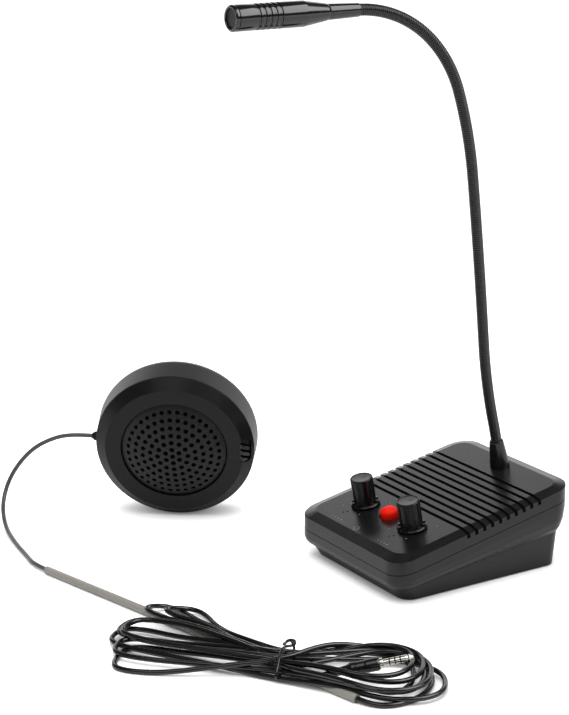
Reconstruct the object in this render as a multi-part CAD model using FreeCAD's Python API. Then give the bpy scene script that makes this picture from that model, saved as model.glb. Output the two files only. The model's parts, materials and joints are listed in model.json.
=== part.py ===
"""Teller window intercom: a console with a gooseneck microphone, a round window speaker and its cord.

Millimetres, +Z up. X runs to the right and Y to the rear of the console.
The origin is on the table, under the middle of the console.
Each sub-part is written to parts/NAME.step.
"""
import FreeCAD, Part
import math
import os
from FreeCAD import Placement, Rotation, Vector

# ---- Console ---------------------------------------------------------------------------------
CONSOLE_WIDTH = 100.0
CONSOLE_LENGTH = 119.2
CONSOLE_CORNER = 12.0
DECK_TILT = 11.3                # degrees; the deck rises to the rear
DECK_HEIGHT = 37.8              # of the deck plane at y = 0
PARTING_DROP = 9.2              # deck plane down to the joint of the two shells
EDGE_BEVEL = 6.0                # width of the shallow bevel round the deck
EDGE_BEVEL_DROP = 1.7
WALL = 2.3
SEAM = 0.35                     # shadow gap between the shells
WAIST_HEIGHT = 14.5             # crease between lower band and plinth, at y = 0
WAIST_TILT = 7.0                # degrees
BAND_INSET = 3.6                # how far the lower band leans in
BAND_UPRIGHT = 4.5              # part of the lower band that stays upright
BAND_CURVE = [(0.0, 0.0), (0.45, 0.18), (0.8, 0.55), (1.0, 1.0)]     # (share of its fall, of its inset)
PLINTH_WIDTH = 88.5             # on the table
PLINTH_FRONT = -50.5
PLINTH_REAR = 54.6
PLINTH_CORNER = 8.0
PLINTH_SIDE_DRAFT = 0.07        # run out per mm of height
PLINTH_FRONT_DRAFT = 0.65
PLINTH_REAR_DRAFT = 0.06

GROOVE_COUNT = 10
GROOVE_PITCH = 5.38
GROOVE_FIRST_Y = -14.1          # at the side of the deck
GROOVE_WIDTH = 2.2
GROOVE_DEPTH = 1.5
GROOVE_TAIL = 4.1               # how far a groove runs down the side
SOUND_SLOT_WIDTH = 1.0
SOUND_SLOT_HALF = 14.0

# ---- Controls, in the deck's own frame ---------------------------------------------------------
KNOB_X = 22.3
KNOB_Y = -31.6
KNOB_SKIRT_R = 8.35
KNOB_BODY_R = 6.35
KNOB_TOP_R = 6.45
KNOB_HEIGHT = 17.0
KNOB_GAP = 0.5                  # above the deck
KNOB_FLUTES = 10
KNOB_FLUTE_DEPTH = 0.5
KNOB_FOOT_WIDTH = 2.2           # of the foot that each rib has on the skirt
KNOB_FOOT_HEIGHT = 1.7
CAP_R = 4.9
SHAFT_R = 3.0
RUNNING_FIT = 0.05              # radial
BUSHING_R = 3.5
POT_R = 8.0
POT_DEPTH = 7.5
NUT_R = 5.2
NUT_HEIGHT = 2.0
BOARD_DROP = 12.0               # deck plane down to the top of the circuit board
BOARD_THICKNESS = 1.6
BOARD_WIDTH = 64.0
BOARD_FRONT = -49.0
BOARD_REAR = -11.0

BUTTON_Y = -30.8
BUTTON_SIZE = 9.3
BUTTON_PROUD = 4.4
BUTTON_TRAVEL = 1.5
BUTTON_STEM_R = 1.75
SWITCH_SIZE = 8.4

# ---- Console loudspeaker and rear sockets ------------------------------------------------------
DRIVER_Y = 10.0
DRIVER_R = 18.0
JACK_X = 20.0
JACK_Z = 12.0
JACK_BORE_R = 1.8
JACK_LENGTH = 12.0
PAD_PROUD = 0.6                 # of the rubber pad under the console
PAD_SINK = 0.6
PAD_WIDTH = 62.0
PAD_FRONT = -34.0
PAD_REAR = 36.0
PAD_CORNER = 6.0

# ---- Gooseneck: (length, tangent angle from upright at the end) of each stretch ----------------
NECK_R = 3.15
NECK_FOOT_Y = 47.3              # in the deck's own frame
FERRULE_LENGTH = 16.1
FERRULE_FOOT_R = 5.6
FERRULE_TOP_R = 4.0
NECK_STRETCHES = [
    (12.0, 14.4), (48.0, 5.6), (48.0, 6.4), (48.0, 7.3), (48.0, 18.8), (43.0, 54.4), (43.0, 90.0),
]
BALL_R = 2.5
BALL_NECK_R = 1.7
JOINT_GAP = 2.0                 # from a pivot back to the shoulder of the stretch below it

# ---- Microphone --------------------------------------------------------------------------------
MIC_R = 6.65
MIC_SLEEVE_LENGTH = 19.1
MIC_SLEEVE_R = 3.6
MIC_SLEEVE_END_R = 4.15
MIC_CONE_LENGTH = 14.4
MIC_TUBE_LENGTH = 40.0
MIC_CAP_LENGTH = 2.4
MIC_RING_START = 15.2           # behind it the tube is plain
MIC_RING_PITCH = 3.23
MIC_RINGS = 5
MIC_RING_WIDTH = 1.3
MIC_RING_DEPTH = 0.6
MIC_WALL = 0.9
MIC_CAP_GRIP = 3.0              # how far the cap reaches into the tube
MIC_MESH_R = 5.0
MIC_MESH_DEPTH = 2.0            # how deep the mesh sits in the cap
MIC_MESH_THICKNESS = 0.8
CAPSULE_R = 4.6
CAPSULE_LENGTH = 5.0

# ---- Window speaker ----------------------------------------------------------------------------
SPEAKER_X = -128.9
SPEAKER_Y = -94.6
SPEAKER_TURN = 53.3             # degrees that its face turns from -Y towards +X
SPEAKER_LEAN = 13.4             # degrees that its face looks down
FACE_R = 40.8
RIM_R = 47.0
RIM_DEPTH = 5.4
SHELL_R = 47.7
SHELL_BACK = 28.0
SHELL_SHOULDER = 7.0            # radius of the rounded edge round its back
GRILLE_R = 31.2
GRILLE_SINK = 1.7               # its edge lies this far under the face
GRILLE_RISE = 7.7               # and its middle bulges this far above its edge
GRILLE_THICKNESS = 1.4
GRILLE_GAP = 0.4
SPEAKER_SCREW_R = 37.5
POST_END = -16.0                # where the bezel's screw posts meet those of the shell
PAD_R = 33.0
PAD_THICKNESS = 1.0
PORT_R = 42.0                   # of the microphone port's middle, from the speaker's axis
PORT_WIDTH = 6.4
PORT_HEIGHT = 15.0
PORT_SLANT = -35.0              # degrees
PORT_SLOT_LENGTH = 6.4
PORT_SLOT_WIDTH = 1.5
PORT_SLOT_PITCH = 4.2
HOLE_R = 1.2
HOLE_SIDES = 6
HOLE_START = 92.9               # degrees round the speaker's axis, on every ring
HOLE_RINGS = [(0.0, 1), (4.5, 6), (9.0, 12), (13.5, 18), (18.0, 24), (22.5, 30), (27.0, 36)]

# ---- Cord --------------------------------------------------------------------------------------
LEAD_D = 2.5
CORD_D = 2.7
GLAND_ANGLE = 176.5             # degrees round the speaker's axis
GLAND_DEPTH = 10.0
GLAND_R = 2.7
GLAND_TIP = 50.0                # distance from the speaker's axis
LEAD_ROUTE = [
    (-166.0, -129.2, 49.7), (-171.8, -137.2, 50.3), (-179.3, -146.9, 48.4), (-188.2, -159.0, 40.5),
    (-193.5, -170.5, 25.0), (-188.5, -179.0, 10.0), (-169.5, -186.0, 2.6), (-146.0, -190.8, 1.35),
    (-122.5, -194.0, 1.35), (-106.5, -197.1, 2.2), (-89.0, -193.0, 2.2),
]
SLEEVE_START = (-95.8, -194.6)
SLEEVE_END = (131.3, -141.5)
SLEEVE_R = 2.2
SLEEVE_GRIP = 7.0               # length of each cord end inside the sleeve
CORD_STUB = 2.0                 # cord between the sleeve and the hank
HANK_MIDDLE = (82.0, -152.0)
HANK_TURN = 37.4                # degrees of its long axis from +X
HANK_OUTLINE = [
    (83, -7), (78, 20), (56, 26), (22, 15), (-12, 15), (-40, 26), (-72, 28), (-90, 10), (-99, -11),
    (-98, -34), (-90, -51), (-72, -49), (-54, -30), (-34, -15), (-2, -14), (24, -35), (58, -39), (76, -28),
]
HANK_TOP = 8.0
HANK_SHOULDER = 5.0
HANK_HUMP_TOP = 11.2            # where the tie draws the turns together
TIE_R = 0.7
TIE_PLACE = 2.0                 # along the hank's long axis
TIE_ROUTE = [
    (0.0, 13.0), (11.0, 12.6), (16.6, 7.0), (12.5, 3.2), (0.0, 6.2), (-10.5, 3.2), (-14.4, 7.5),
    (-10.0, 12.4), (-0.6, 13.0),
]
PLUG_BASE = (120.5, -118.9, 11.2)
PLUG_TURN = 56.0                # degrees of the pin from +X
PLUG_RISE = 13.0
PIN_R = 1.75
PIN_LENGTH = 15.0
PLUG_COLLAR_R = 2.6
PLUG_COLLAR_LENGTH = 1.6
PLUG_BODY_R = 3.4
PLUG_BODY_LENGTH = 16.0
PLUG_RELIEF_LENGTH = 9.0

BIG = 400.0                     # larger than anything that a half space has to cut
slope = math.tan(math.radians(DECK_TILT))
DECK = Placement(Vector(0, 0, DECK_HEIGHT), Rotation(Vector(1, 0, 0), DECK_TILT))
Z = Vector(0, 0, 1)
solids = {}


def add(name, shape):
    """Keep a sub-part under its name, as one clean shape."""
    shape = shape.removeSplitter() if len(shape.Solids) == 1 else shape
    solids[name] = shape
    return shape


def rounded_rectangle(width, front, rear, radius, z=0.0):
    """A closed wire: x from -width/2 to width/2, y from front to rear, with round corners."""
    x = width / 2
    side = math.sqrt(0.5) * radius
    corners = [(x, rear, 1, 1), (-x, rear, -1, 1), (-x, front, -1, -1), (x, front, 1, -1)]
    edges, last, first = [], None, None
    for px, py, sx, sy in corners:
        middle = Vector(px - sx * radius, py - sy * radius, z)
        start = Vector(px, middle.y, z) if sx == sy else Vector(middle.x, py, z)
        end = Vector(middle.x, py, z) if sx == sy else Vector(px, middle.y, z)
        if last is not None:
            edges.append(Part.makeLine(last, start))
        through = middle + Vector(sx * side, sy * side, 0)
        edges.append(Part.Arc(start, through, end).toShape())
        first = first or start
        last = end
    edges.append(Part.makeLine(last, first))
    return Part.Wire(edges)


def prism(wire, height):
    return Part.Face(wire).extrude(Vector(0, 0, height))


def loft(wires):
    return Part.makeLoft(wires, True, True)


def above(height, tilt):
    """The half space over a plane that rises to the rear and is at this height over y = 0."""
    box = Part.makeBox(BIG, BIG, BIG, Vector(-BIG / 2, -BIG / 2, 0))
    box.rotate(Vector(0, 0, 0), Vector(1, 0, 0), tilt)
    box.translate(Vector(0, 0, height))
    return box


def turned(profile, start=Vector(0, 0, 0), direction=Z):
    """Revolve (radius, distance) points about their axis and lay the axis along direction."""
    points = [Vector(r, 0, h) for r, h in profile]
    wire = Part.makePolygon(points + [points[0]])
    solid = Part.Face(wire).revolve(Vector(0, 0, 0), Z, 360)
    solid.Placement = Placement(start, Rotation(Z, direction))
    return solid


def placed(shape, placement):
    shape = shape.copy()
    shape.Placement = placement.multiply(shape.Placement)
    return shape


def cylinder(radius, bottom, top, x=0.0, y=0.0):
    return Part.makeCylinder(radius, top - bottom, Vector(x, y, bottom))


def ring(outer, inner, bottom, top, x=0.0, y=0.0):
    return cylinder(outer, bottom, top, x, y).cut(cylinder(inner, bottom - 1, top + 1, x, y))


def polygon_prism(radii, bottom, top, x=0.0, y=0.0):
    """An upright prism whose corners lie at these radii, evenly spaced round the axis."""
    step = 2 * math.pi / len(radii)
    points = [Vector(x + r * math.cos(i * step), y + r * math.sin(i * step), bottom)
              for i, r in enumerate(radii)]
    return prism(Part.makePolygon(points + [points[0]]), top - bottom)


# ---- Console shells ----------------------------------------------------------------------------
def console_block(inset):
    """The console's upright outline, moved in by inset all round."""
    half = CONSOLE_LENGTH / 2 - inset
    wire = rounded_rectangle(CONSOLE_WIDTH - 2 * inset, -half, half, CONSOLE_CORNER - inset, -10)
    return prism(wire, 90)


def bevelled_lid(inset):
    """Everything under the deck and its shallow bevel, moved down and in by inset."""
    half = CONSOLE_LENGTH / 2 / math.cos(math.radians(DECK_TILT)) - EDGE_BEVEL
    width = CONSOLE_WIDTH - 2 * EDGE_BEVEL
    spread = 60.0
    fall = spread * EDGE_BEVEL_DROP / EDGE_BEVEL
    corner = CONSOLE_CORNER - EDGE_BEVEL + 2
    top = rounded_rectangle(width, -half, half, corner, -inset)
    low = rounded_rectangle(width + 2 * spread, -half - spread, half + spread,
                            corner + spread, -inset - fall)
    lid = loft([top, low]).fuse(prism(low, -BIG / 2))
    return placed(lid, DECK)


def plinth_block(inset, bottom):
    """The drafted wedge foot, moved in by inset and starting at bottom."""
    wires = []
    for z in (bottom, 34.0):
        side = PLINTH_WIDTH / 2 + PLINTH_SIDE_DRAFT * z - inset
        front = PLINTH_FRONT - PLINTH_FRONT_DRAFT * z + inset
        rear = PLINTH_REAR + PLINTH_REAR_DRAFT * z - inset
        wires.append(rounded_rectangle(2 * side, front, rear, PLINTH_CORNER - inset / 2, z))
    return loft(wires)


def groove_cutter(y):
    """One groove across the deck, over both bevels and a little way down both sides."""
    half = CONSOLE_WIDTH / 2
    inner = half - EDGE_BEVEL
    drop = EDGE_BEVEL_DROP + GROOVE_DEPTH
    points = [(-half - 1, 2), (half + 1, 2), (half + 1, -GROOVE_TAIL), (half - GROOVE_DEPTH, -GROOVE_TAIL),
              (half - GROOVE_DEPTH, -drop), (inner, -GROOVE_DEPTH), (-inner, -GROOVE_DEPTH),
              (-half + GROOVE_DEPTH, -drop), (-half + GROOVE_DEPTH, -GROOVE_TAIL), (-half - 1, -GROOVE_TAIL)]
    wire = Part.makePolygon([Vector(x, y - GROOVE_WIDTH / 2, z) for x, z in points + [points[0]]])
    return placed(Part.Face(wire).extrude(Vector(0, GROOVE_WIDTH, 0)), DECK)


def groove_rows():
    """The grooves' places along the deck, in its own frame."""
    stretch = 1 / math.cos(math.radians(DECK_TILT))
    return [(GROOVE_FIRST_Y + i * GROOVE_PITCH) * stretch for i in range(GROOVE_COUNT)]


def parting(y):
    return DECK_HEIGHT - PARTING_DROP + slope * y


SCREW_PLACES = [(-37.0, -38.0), (37.0, -38.0), (-36.0, 43.0), (36.0, 43.0)]


def make_top_cover():
    outer = console_block(0).common(bevelled_lid(0))
    inner = console_block(WALL).common(bevelled_lid(WALL))
    shell = outer.cut(inner)
    for x, y in SCREW_PLACES:
        post = cylinder(3.4, 0, 60, x, y).common(bevelled_lid(WALL / 2))
        shell = shell.fuse(post.cut(cylinder(1.3, 0, parting(y) + 6.2, x, y)))
    shell = shell.common(above(DECK_HEIGHT - PARTING_DROP, DECK_TILT))
    rim = ring(DRIVER_R + 1.6, DRIVER_R + 0.2, -WALL - 1.6, -WALL + 0.3, 0, DRIVER_Y)
    shell = shell.fuse(placed(rim, DECK))
    for y in groove_rows():
        shell = shell.cut(groove_cutter(y))
    for y in groove_rows()[2:8]:
        slot = Part.makeBox(2 * SOUND_SLOT_HALF, SOUND_SLOT_WIDTH, 2 * WALL,
                            Vector(-SOUND_SLOT_HALF, y - SOUND_SLOT_WIDTH / 2, -2 * WALL + 0.5))
        shell = shell.cut(placed(slot, DECK))
    holes = [cylinder(BUSHING_R + 0.1, -9, 5, x, KNOB_Y) for x in (-KNOB_X, KNOB_X)]
    holes.append(cylinder(BUTTON_SIZE / 2 + 1.1, -9, 5, 0, BUTTON_Y))
    holes.append(cylinder(4.1, -9, 5, 0, NECK_FOOT_Y))
    for hole in holes:
        shell = shell.cut(placed(hole, DECK))
    return add("top_cover", shell)


def lower_case(inset):
    """The lower shell's outside, moved in by inset: upright band, leaning band and drafted plinth."""
    seam = DECK_HEIGHT - PARTING_DROP - SEAM
    top, bottom = seam - BAND_UPRIGHT, WAIST_HEIGHT + inset
    wires = []
    for share, lean in BAND_CURVE:
        tilt = DECK_TILT + share * (WAIST_TILT - DECK_TILT)
        move_in = inset + lean * BAND_INSET
        half = (CONSOLE_LENGTH / 2 - move_in) / math.cos(math.radians(tilt))
        wire = rounded_rectangle(CONSOLE_WIDTH - 2 * move_in, -half, half, CONSOLE_CORNER - move_in)
        height = top + share * (bottom - top)
        wire.Placement = Placement(Vector(0, 0, height), Rotation(Vector(1, 0, 0), tilt))
        wires.append(wire)
    leaning = loft(wires)
    upright = prism(wires[0], BAND_UPRIGHT + SEAM + 2 * WALL)
    foot = plinth_block(inset, PAD_PROUD + inset).cut(above(bottom, WAIST_TILT))
    return upright.fuse(leaning).fuse(foot)


def make_bottom_shell():
    top = DECK_HEIGHT - PARTING_DROP - SEAM
    shell = lower_case(0).cut(lower_case(WALL))
    for x, y in SCREW_PLACES:
        shell = shell.fuse(cylinder(4.2, WALL / 2, 60, x, y))
    shell = shell.cut(above(top, DECK_TILT))
    for x, y in SCREW_PLACES:
        shell = shell.cut(cylinder(3.2, -1, parting(y) - 9, x, y)).cut(cylinder(1.7, -1, 60, x, y))
    for x in (-JACK_X, JACK_X):
        hole = Part.makeCylinder(4.1, 30, Vector(x, 40, JACK_Z), Vector(0, 1, 0))
        shell = shell.cut(hole)
    return add("bottom_shell", shell.cut(base_pad()))


# ---- Controls ----------------------------------------------------------------------------------
def fluted(radius, z):
    """A wire round a knob at height z, with a shallow flute between ridges."""
    count = 2 * KNOB_FLUTES
    points = []
    for i in range(count):
        r = radius - KNOB_FLUTE_DEPTH * (i % 2)
        turn = 2 * math.pi * i / count
        points.append(Vector(r * math.cos(turn), r * math.sin(turn), z))
    return Part.makePolygon(points + [points[0]])


def knob():
    """A fluted body over a flared skirt, hollow underneath to clear the nut and the bushing."""
    top = KNOB_HEIGHT
    skirt = turned([(0, KNOB_GAP), (KNOB_SKIRT_R, KNOB_GAP), (KNOB_SKIRT_R, KNOB_GAP + 0.9),
                    (KNOB_SKIRT_R - 0.6, KNOB_GAP + 1.3), (KNOB_BODY_R + 0.2, KNOB_GAP + 2.3),
                    (0, KNOB_GAP + 2.3)])
    for i in range(KNOB_FLUTES):
        foot = Part.makeBox(KNOB_SKIRT_R - 0.4, KNOB_FOOT_WIDTH, KNOB_FOOT_HEIGHT,
                            Vector(0, -KNOB_FOOT_WIDTH / 2, KNOB_GAP + 0.4))
        foot.rotate(Vector(0, 0, 0), Z, 360 * i / KNOB_FLUTES)
        skirt = skirt.fuse(foot)
    body = loft([fluted(KNOB_BODY_R, KNOB_GAP + 1.0), fluted(KNOB_TOP_R + 0.1, top - 0.7)])
    crown = turned([(0, top - 0.7), (KNOB_TOP_R, top - 0.7), (KNOB_TOP_R, top - 0.4),
                    (KNOB_TOP_R - 0.4, top), (0, top)])
    shape = skirt.fuse(body).fuse(crown)
    shape = shape.cut(cylinder(NUT_R + 0.6, -1, NUT_HEIGHT + 0.6))
    shape = shape.cut(cylinder(BUSHING_R + 0.4, -1, 4.4))
    shape = shape.cut(cylinder(SHAFT_R, -1, top - 2.6))
    return shape.cut(cylinder(CAP_R + 0.1, top - 1.0, top + 1))


def knob_cap():
    """The disc in the knob's crown, with its pointer line."""
    top = KNOB_HEIGHT
    pointer = Part.makeBox(0.9, CAP_R - 1.0, 0.7, Vector(-0.45, 0.6, top - 0.6))
    return cylinder(CAP_R, top - 1.0, top - 0.3).fuse(pointer)


def potentiometer():
    """A round can under the deck, its threaded bushing and three legs down to the board."""
    can = cylinder(POT_R, -WALL - POT_DEPTH, -WALL).fuse(cylinder(BUSHING_R, -WALL - 0.5, 3.6))
    can = can.cut(cylinder(SHAFT_R + RUNNING_FIT, -WALL - 5.6, 5))
    for x in (-5.0, 0.0, 5.0):
        leg = Part.makeBox(1.2, 1.0, BOARD_DROP - WALL - POT_DEPTH + 1, Vector(x - 0.6, -5.5, -BOARD_DROP))
        can = can.fuse(leg)
    return can


def shaft():
    """The potentiometer's shaft, with its flat."""
    rod = cylinder(SHAFT_R, -WALL - 5.2, KNOB_HEIGHT - 2.8)
    return rod.cut(Part.makeBox(8, 8, 12, Vector(SHAFT_R - 1.5, -4, 6.0)))


def make_controls():
    nuts = []
    for side, x in (("left", -KNOB_X), ("right", KNOB_X)):
        place = DECK.multiply(Placement(Vector(x, KNOB_Y, 0), Rotation()))
        add("knob_" + side, placed(knob(), place))
        add("knob_cap_" + side, placed(knob_cap(), place))
        add("shaft_" + side, placed(shaft(), place))
        add("potentiometer_" + side, placed(potentiometer(), place))
        nut = polygon_prism([NUT_R] * 6, 0, NUT_HEIGHT).cut(cylinder(BUSHING_R, -1, 5))
        nuts.append(placed(nut, place))
    add("potentiometer_nuts", Part.makeCompound(nuts))


def make_button():
    """The red push button: a soft dome on a flange, its stem in the switch on the board."""
    place = DECK.multiply(Placement(Vector(0, BUTTON_Y, 0), Rotation()))
    half = BUTTON_SIZE / 2
    cap = prism(rounded_rectangle(BUTTON_SIZE, -half, half, 2.8, -WALL - 1.4), BUTTON_PROUD + WALL + 1.4)
    rim = [e for e in cap.Edges if e.BoundBox.ZMin > BUTTON_PROUD - 0.01]
    cap = cap.makeFillet(2.1, rim)
    flange_top = -WALL - 0.6
    stem_bottom = flange_top - 1.0 - 3.5
    cap = cap.fuse(cylinder(half + 1.7, flange_top - 1.0, flange_top))
    cap = cap.fuse(cylinder(BUTTON_STEM_R, stem_bottom, flange_top - 0.5))
    add("button_cap", placed(cap, place))
    body_top = flange_top - 1.0 - BUTTON_TRAVEL - 0.6
    body = Part.makeBox(SWITCH_SIZE, SWITCH_SIZE, BOARD_DROP + body_top,
                        Vector(-SWITCH_SIZE / 2, -SWITCH_SIZE / 2, -BOARD_DROP))
    body = body.cut(cylinder(BUTTON_STEM_R + RUNNING_FIT, stem_bottom - BUTTON_TRAVEL - 0.6, 0))
    add("button_switch", placed(body, place))


def make_circuit_board():
    board = Part.makeBox(BOARD_WIDTH, BOARD_REAR - BOARD_FRONT, BOARD_THICKNESS,
                         Vector(-BOARD_WIDTH / 2, BOARD_FRONT, -BOARD_DROP - BOARD_THICKNESS))
    for x in (-28, 28):
        board = board.cut(cylinder(1.6, -20, 0, x, -15))
    chip = Part.makeBox(12, 7, 2.2, Vector(-6, -21.5, -BOARD_DROP))
    add("circuit_board", placed(board, DECK))
    add("amplifier_chip", placed(chip, DECK))


# ---- Loudspeakers ------------------------------------------------------------------------------
def driver(radius, depth, magnet_r, magnet_depth):
    """A loudspeaker that faces +Z with its flange at z = 0: frame, cone and magnet."""
    seat = 1.4
    inner = 0.84 * radius
    throat = 0.36 * radius
    frame = turned([(inner, 0), (radius, 0), (radius, -seat), (inner + 1.2, -seat),
                    (magnet_r, -depth), (throat, -depth), (throat, -depth + 1.0),
                    (inner - 0.2, -seat - 0.4), (inner, -seat)])
    cone = turned([(inner - 0.3, 0), (inner - 0.3, -0.5), (0.3 * radius, -0.55 * depth), (0, -0.45 * depth),
                   (0, -0.45 * depth + 0.5), (0.3 * radius - 0.2, -0.55 * depth + 0.8), (inner - 1.8, 0)])
    magnet = cylinder(magnet_r, -depth - magnet_depth, -depth)
    return frame, cone, magnet


def make_console_driver():
    place = DECK.multiply(Placement(Vector(0, DRIVER_Y, -WALL), Rotation()))
    frame, cone, magnet = driver(DRIVER_R, 7.0, 9.0, 4.0)
    add("monitor_frame", placed(frame, place))
    add("monitor_cone", placed(cone, place))
    add("monitor_magnet", placed(magnet, place))


def make_sockets():
    """A plug socket for the window speaker and one for the supply, in the rear of the plinth."""
    face = PLINTH_REAR + PLINTH_REAR_DRAFT * (JACK_Z + 6)
    back = Vector(0, 1, 0)
    for name, x, bore in (("speaker_socket", JACK_X, JACK_BORE_R), ("power_socket", -JACK_X, 2.8)):
        start = Vector(x, face + 1.0 - JACK_LENGTH - 2.0, JACK_Z)
        body = turned([(bore, 2.0), (4.0, 2.0), (4.0, JACK_LENGTH + 1.0), (5.3, JACK_LENGTH + 1.0),
                       (5.3, JACK_LENGTH + 1.6), (4.9, JACK_LENGTH + 2.0), (bore, JACK_LENGTH + 2.0)],
                      start, back)
        body = body.fuse(Part.makeCylinder(4.0, 2.0, start, back))
        if bore > JACK_BORE_R:
            body = body.fuse(Part.makeCylinder(1.0, JACK_LENGTH, start, back))
        add(name, body)


def base_pad():
    """The rubber sheet under the console, let into its floor."""
    return prism(rounded_rectangle(PAD_WIDTH, PAD_FRONT, PAD_REAR, PAD_CORNER), PAD_PROUD + PAD_SINK)


def make_fastenings():
    """Case screws from underneath and the pad that the console stands on."""
    screws = []
    for x, y in SCREW_PLACES:
        seat = parting(y) - 9.0
        shank = cylinder(1.3, seat - 1.0, seat + 14.0, x, y)
        screws.append(cylinder(2.8, seat - 2.0, seat, x, y).fuse(shank))
    add("case_screws", Part.makeCompound(screws))
    add("base_pad", base_pad())


# ---- Gooseneck and microphone ------------------------------------------------------------------
def tangent(angle):
    return Vector(0, -math.sin(math.radians(angle)), math.cos(math.radians(angle)))


def neck_path():
    """The gooseneck's pivots, each with its tangent angle, from the ferrule to the microphone."""
    point, angle = DECK.multVec(Vector(0, NECK_FOOT_Y, FERRULE_LENGTH)), DECK_TILT
    path = [(point, angle)]
    for length, end in NECK_STRETCHES:
        turn = math.radians(end - angle)
        chord = length * math.sin(turn / 2) / (turn / 2)
        point = point + tangent((angle + end) / 2) * chord
        path.append((point, end))
        angle = end
    return path


def bent_rod(start, angle, length, turn, radius):
    """A round rod that leaves start at this angle and turns steadily over its length."""
    bend = length / math.radians(turn)
    centre = start + Vector(0, -math.cos(math.radians(angle)), -math.sin(math.radians(angle))) * bend
    disc = Part.Face(Part.Wire(Part.makeCircle(radius, start, tangent(angle))))
    return disc.revolve(centre, Vector(1, 0, 0), turn)


def stretch(start, end, length, with_socket, with_ball):
    """One stretch of gooseneck: a cup at its foot, a ball on a slim neck at its top."""
    (p, angle), (q, last) = start, end
    turn = last - angle
    solid_share = 1 - JOINT_GAP / length if with_ball else 1.0
    rod = bent_rod(p, angle, length * solid_share, turn * solid_share, NECK_R)
    if with_ball:
        reach = JOINT_GAP + 0.4
        neck = Part.makeCylinder(BALL_NECK_R, reach, q - tangent(last) * reach, tangent(last))
        rod = rod.fuse(neck).fuse(Part.makeSphere(BALL_R, q))
    if with_socket:
        rod = rod.cut(Part.makeSphere(BALL_R + RUNNING_FIT, p))
    return rod


def make_gooseneck():
    foot = DECK.multVec(Vector(0, NECK_FOOT_Y, 0))
    up = tangent(DECK_TILT)
    ferrule = turned([(0, -7.0), (4.0, -7.0), (4.0, 0), (FERRULE_FOOT_R, 0), (FERRULE_FOOT_R, 1.5),
                      (FERRULE_TOP_R, FERRULE_LENGTH - 0.6), (FERRULE_TOP_R - 0.5, FERRULE_LENGTH),
                      (0, FERRULE_LENGTH)], foot, up)
    add("neck_ferrule", ferrule)
    nut = polygon_prism([7.4] * 6, -WALL - 3.2, -WALL).cut(cylinder(4.0, -9, 0))
    add("neck_nut", placed(nut, DECK.multiply(Placement(Vector(0, NECK_FOOT_Y, 0), Rotation()))))
    path = neck_path()
    for i, (length, _) in enumerate(NECK_STRETCHES):
        last = i == len(NECK_STRETCHES) - 1
        add("neck_%d" % i, stretch(path[i], path[i + 1], length, i > 0, not last))
        print("neck_%d from %s at %.1f deg" % (i, [round(v, 2) for v in path[i][0]], path[i][1]))
    print("neck end", [round(v, 2) for v in path[-1][0]], path[-1][1])


def make_microphone():
    """Sleeve, housing with its ring grooves, front cap, mesh disc and the capsule in its holder."""
    start, angle = neck_path()[-1]
    ahead = tangent(angle)
    cone = MIC_SLEEVE_LENGTH
    tube = cone + MIC_CONE_LENGTH
    end = tube + MIC_TUBE_LENGTH
    tip = end + MIC_CAP_LENGTH
    bore = MIC_R - MIC_WALL
    sleeve = [(0, 0), (MIC_SLEEVE_R, 0), (MIC_SLEEVE_R, 1.5), (MIC_SLEEVE_END_R, cone), (0, cone)]
    add("mic_sleeve", turned(sleeve, start, ahead))
    outline = [(0, cone), (MIC_SLEEVE_END_R, cone), (MIC_SLEEVE_END_R + 0.3, cone + 1.0), (MIC_R, tube)]
    floor = MIC_R - MIC_RING_DEPTH
    for i in range(MIC_RINGS):
        near = tube + MIC_RING_START + i * MIC_RING_PITCH
        far = near + MIC_RING_WIDTH
        outline += [(MIC_R, near), (floor, near + 0.2), (floor, far - 0.2), (MIC_R, far)]
    outline += [(MIC_R, end), (bore, end), (bore, tube + 1.0), (0, tube + 1.0)]
    add("mic_housing", turned(outline, start, ahead))
    grip, seat = end - MIC_CAP_GRIP, tip - MIC_MESH_DEPTH
    cap = [(bore, grip), (bore, end), (MIC_R - 0.3, end), (MIC_R - 0.3, end + 0.3), (MIC_R, end + 0.3)]
    cap += [(MIC_R, tip - 0.7), (MIC_R - 0.7, tip), (MIC_MESH_R + 0.2, tip), (MIC_MESH_R, seat)]
    cap += [(MIC_MESH_R - 0.1, seat), (MIC_MESH_R - 0.1, grip)]
    add("mic_cap", turned(cap, start, ahead))
    mesh = cylinder(MIC_MESH_R, seat, seat + MIC_MESH_THICKNESS)
    for r, count in ((0.0, 1), (1.8, 6), (3.6, 12)):
        for i in range(count):
            turn = 2 * math.pi * i / count
            x, y = r * math.cos(turn), r * math.sin(turn)
            mesh = mesh.cut(polygon_prism([0.62] * 6, seat - 2, tip, x, y))
    mesh.Placement = Placement(start, Rotation(Z, ahead))
    add("mic_mesh", mesh)
    back = grip - CAPSULE_LENGTH
    add("mic_capsule", turned([(0, back), (CAPSULE_R, back), (CAPSULE_R, grip), (0, grip)], start, ahead))
    holder = [(CAPSULE_R, back - 1), (bore, back - 1), (bore, grip - 0.5), (CAPSULE_R, grip - 0.5)]
    add("mic_holder", turned(holder, start, ahead))


# ---- Window speaker ----------------------------------------------------------------------------
def speaker_place():
    """The speaker's own frame: its axis is +Z, out of its face. Its rim stands on the table."""
    lean = math.radians(SPEAKER_LEAN)
    height = RIM_R * math.cos(lean) - RIM_DEPTH * math.sin(lean)
    turn = Rotation(Z, SPEAKER_TURN).multiply(Rotation(Vector(1, 0, 0), 90 + SPEAKER_LEAN))
    return Placement(Vector(SPEAKER_X, SPEAKER_Y, height), turn)


def pocket(grow):
    """The slot-shaped space for the microphone port, in the rim to the right of the grille."""
    half = PORT_HEIGHT / 2 + grow
    wire = rounded_rectangle(PORT_WIDTH + 2 * grow, -half, half, 2.6 + grow, -8.0)
    shape = prism(wire, 12.0)
    shape.translate(Vector(PORT_R, 0, 0))
    return shape


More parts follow.
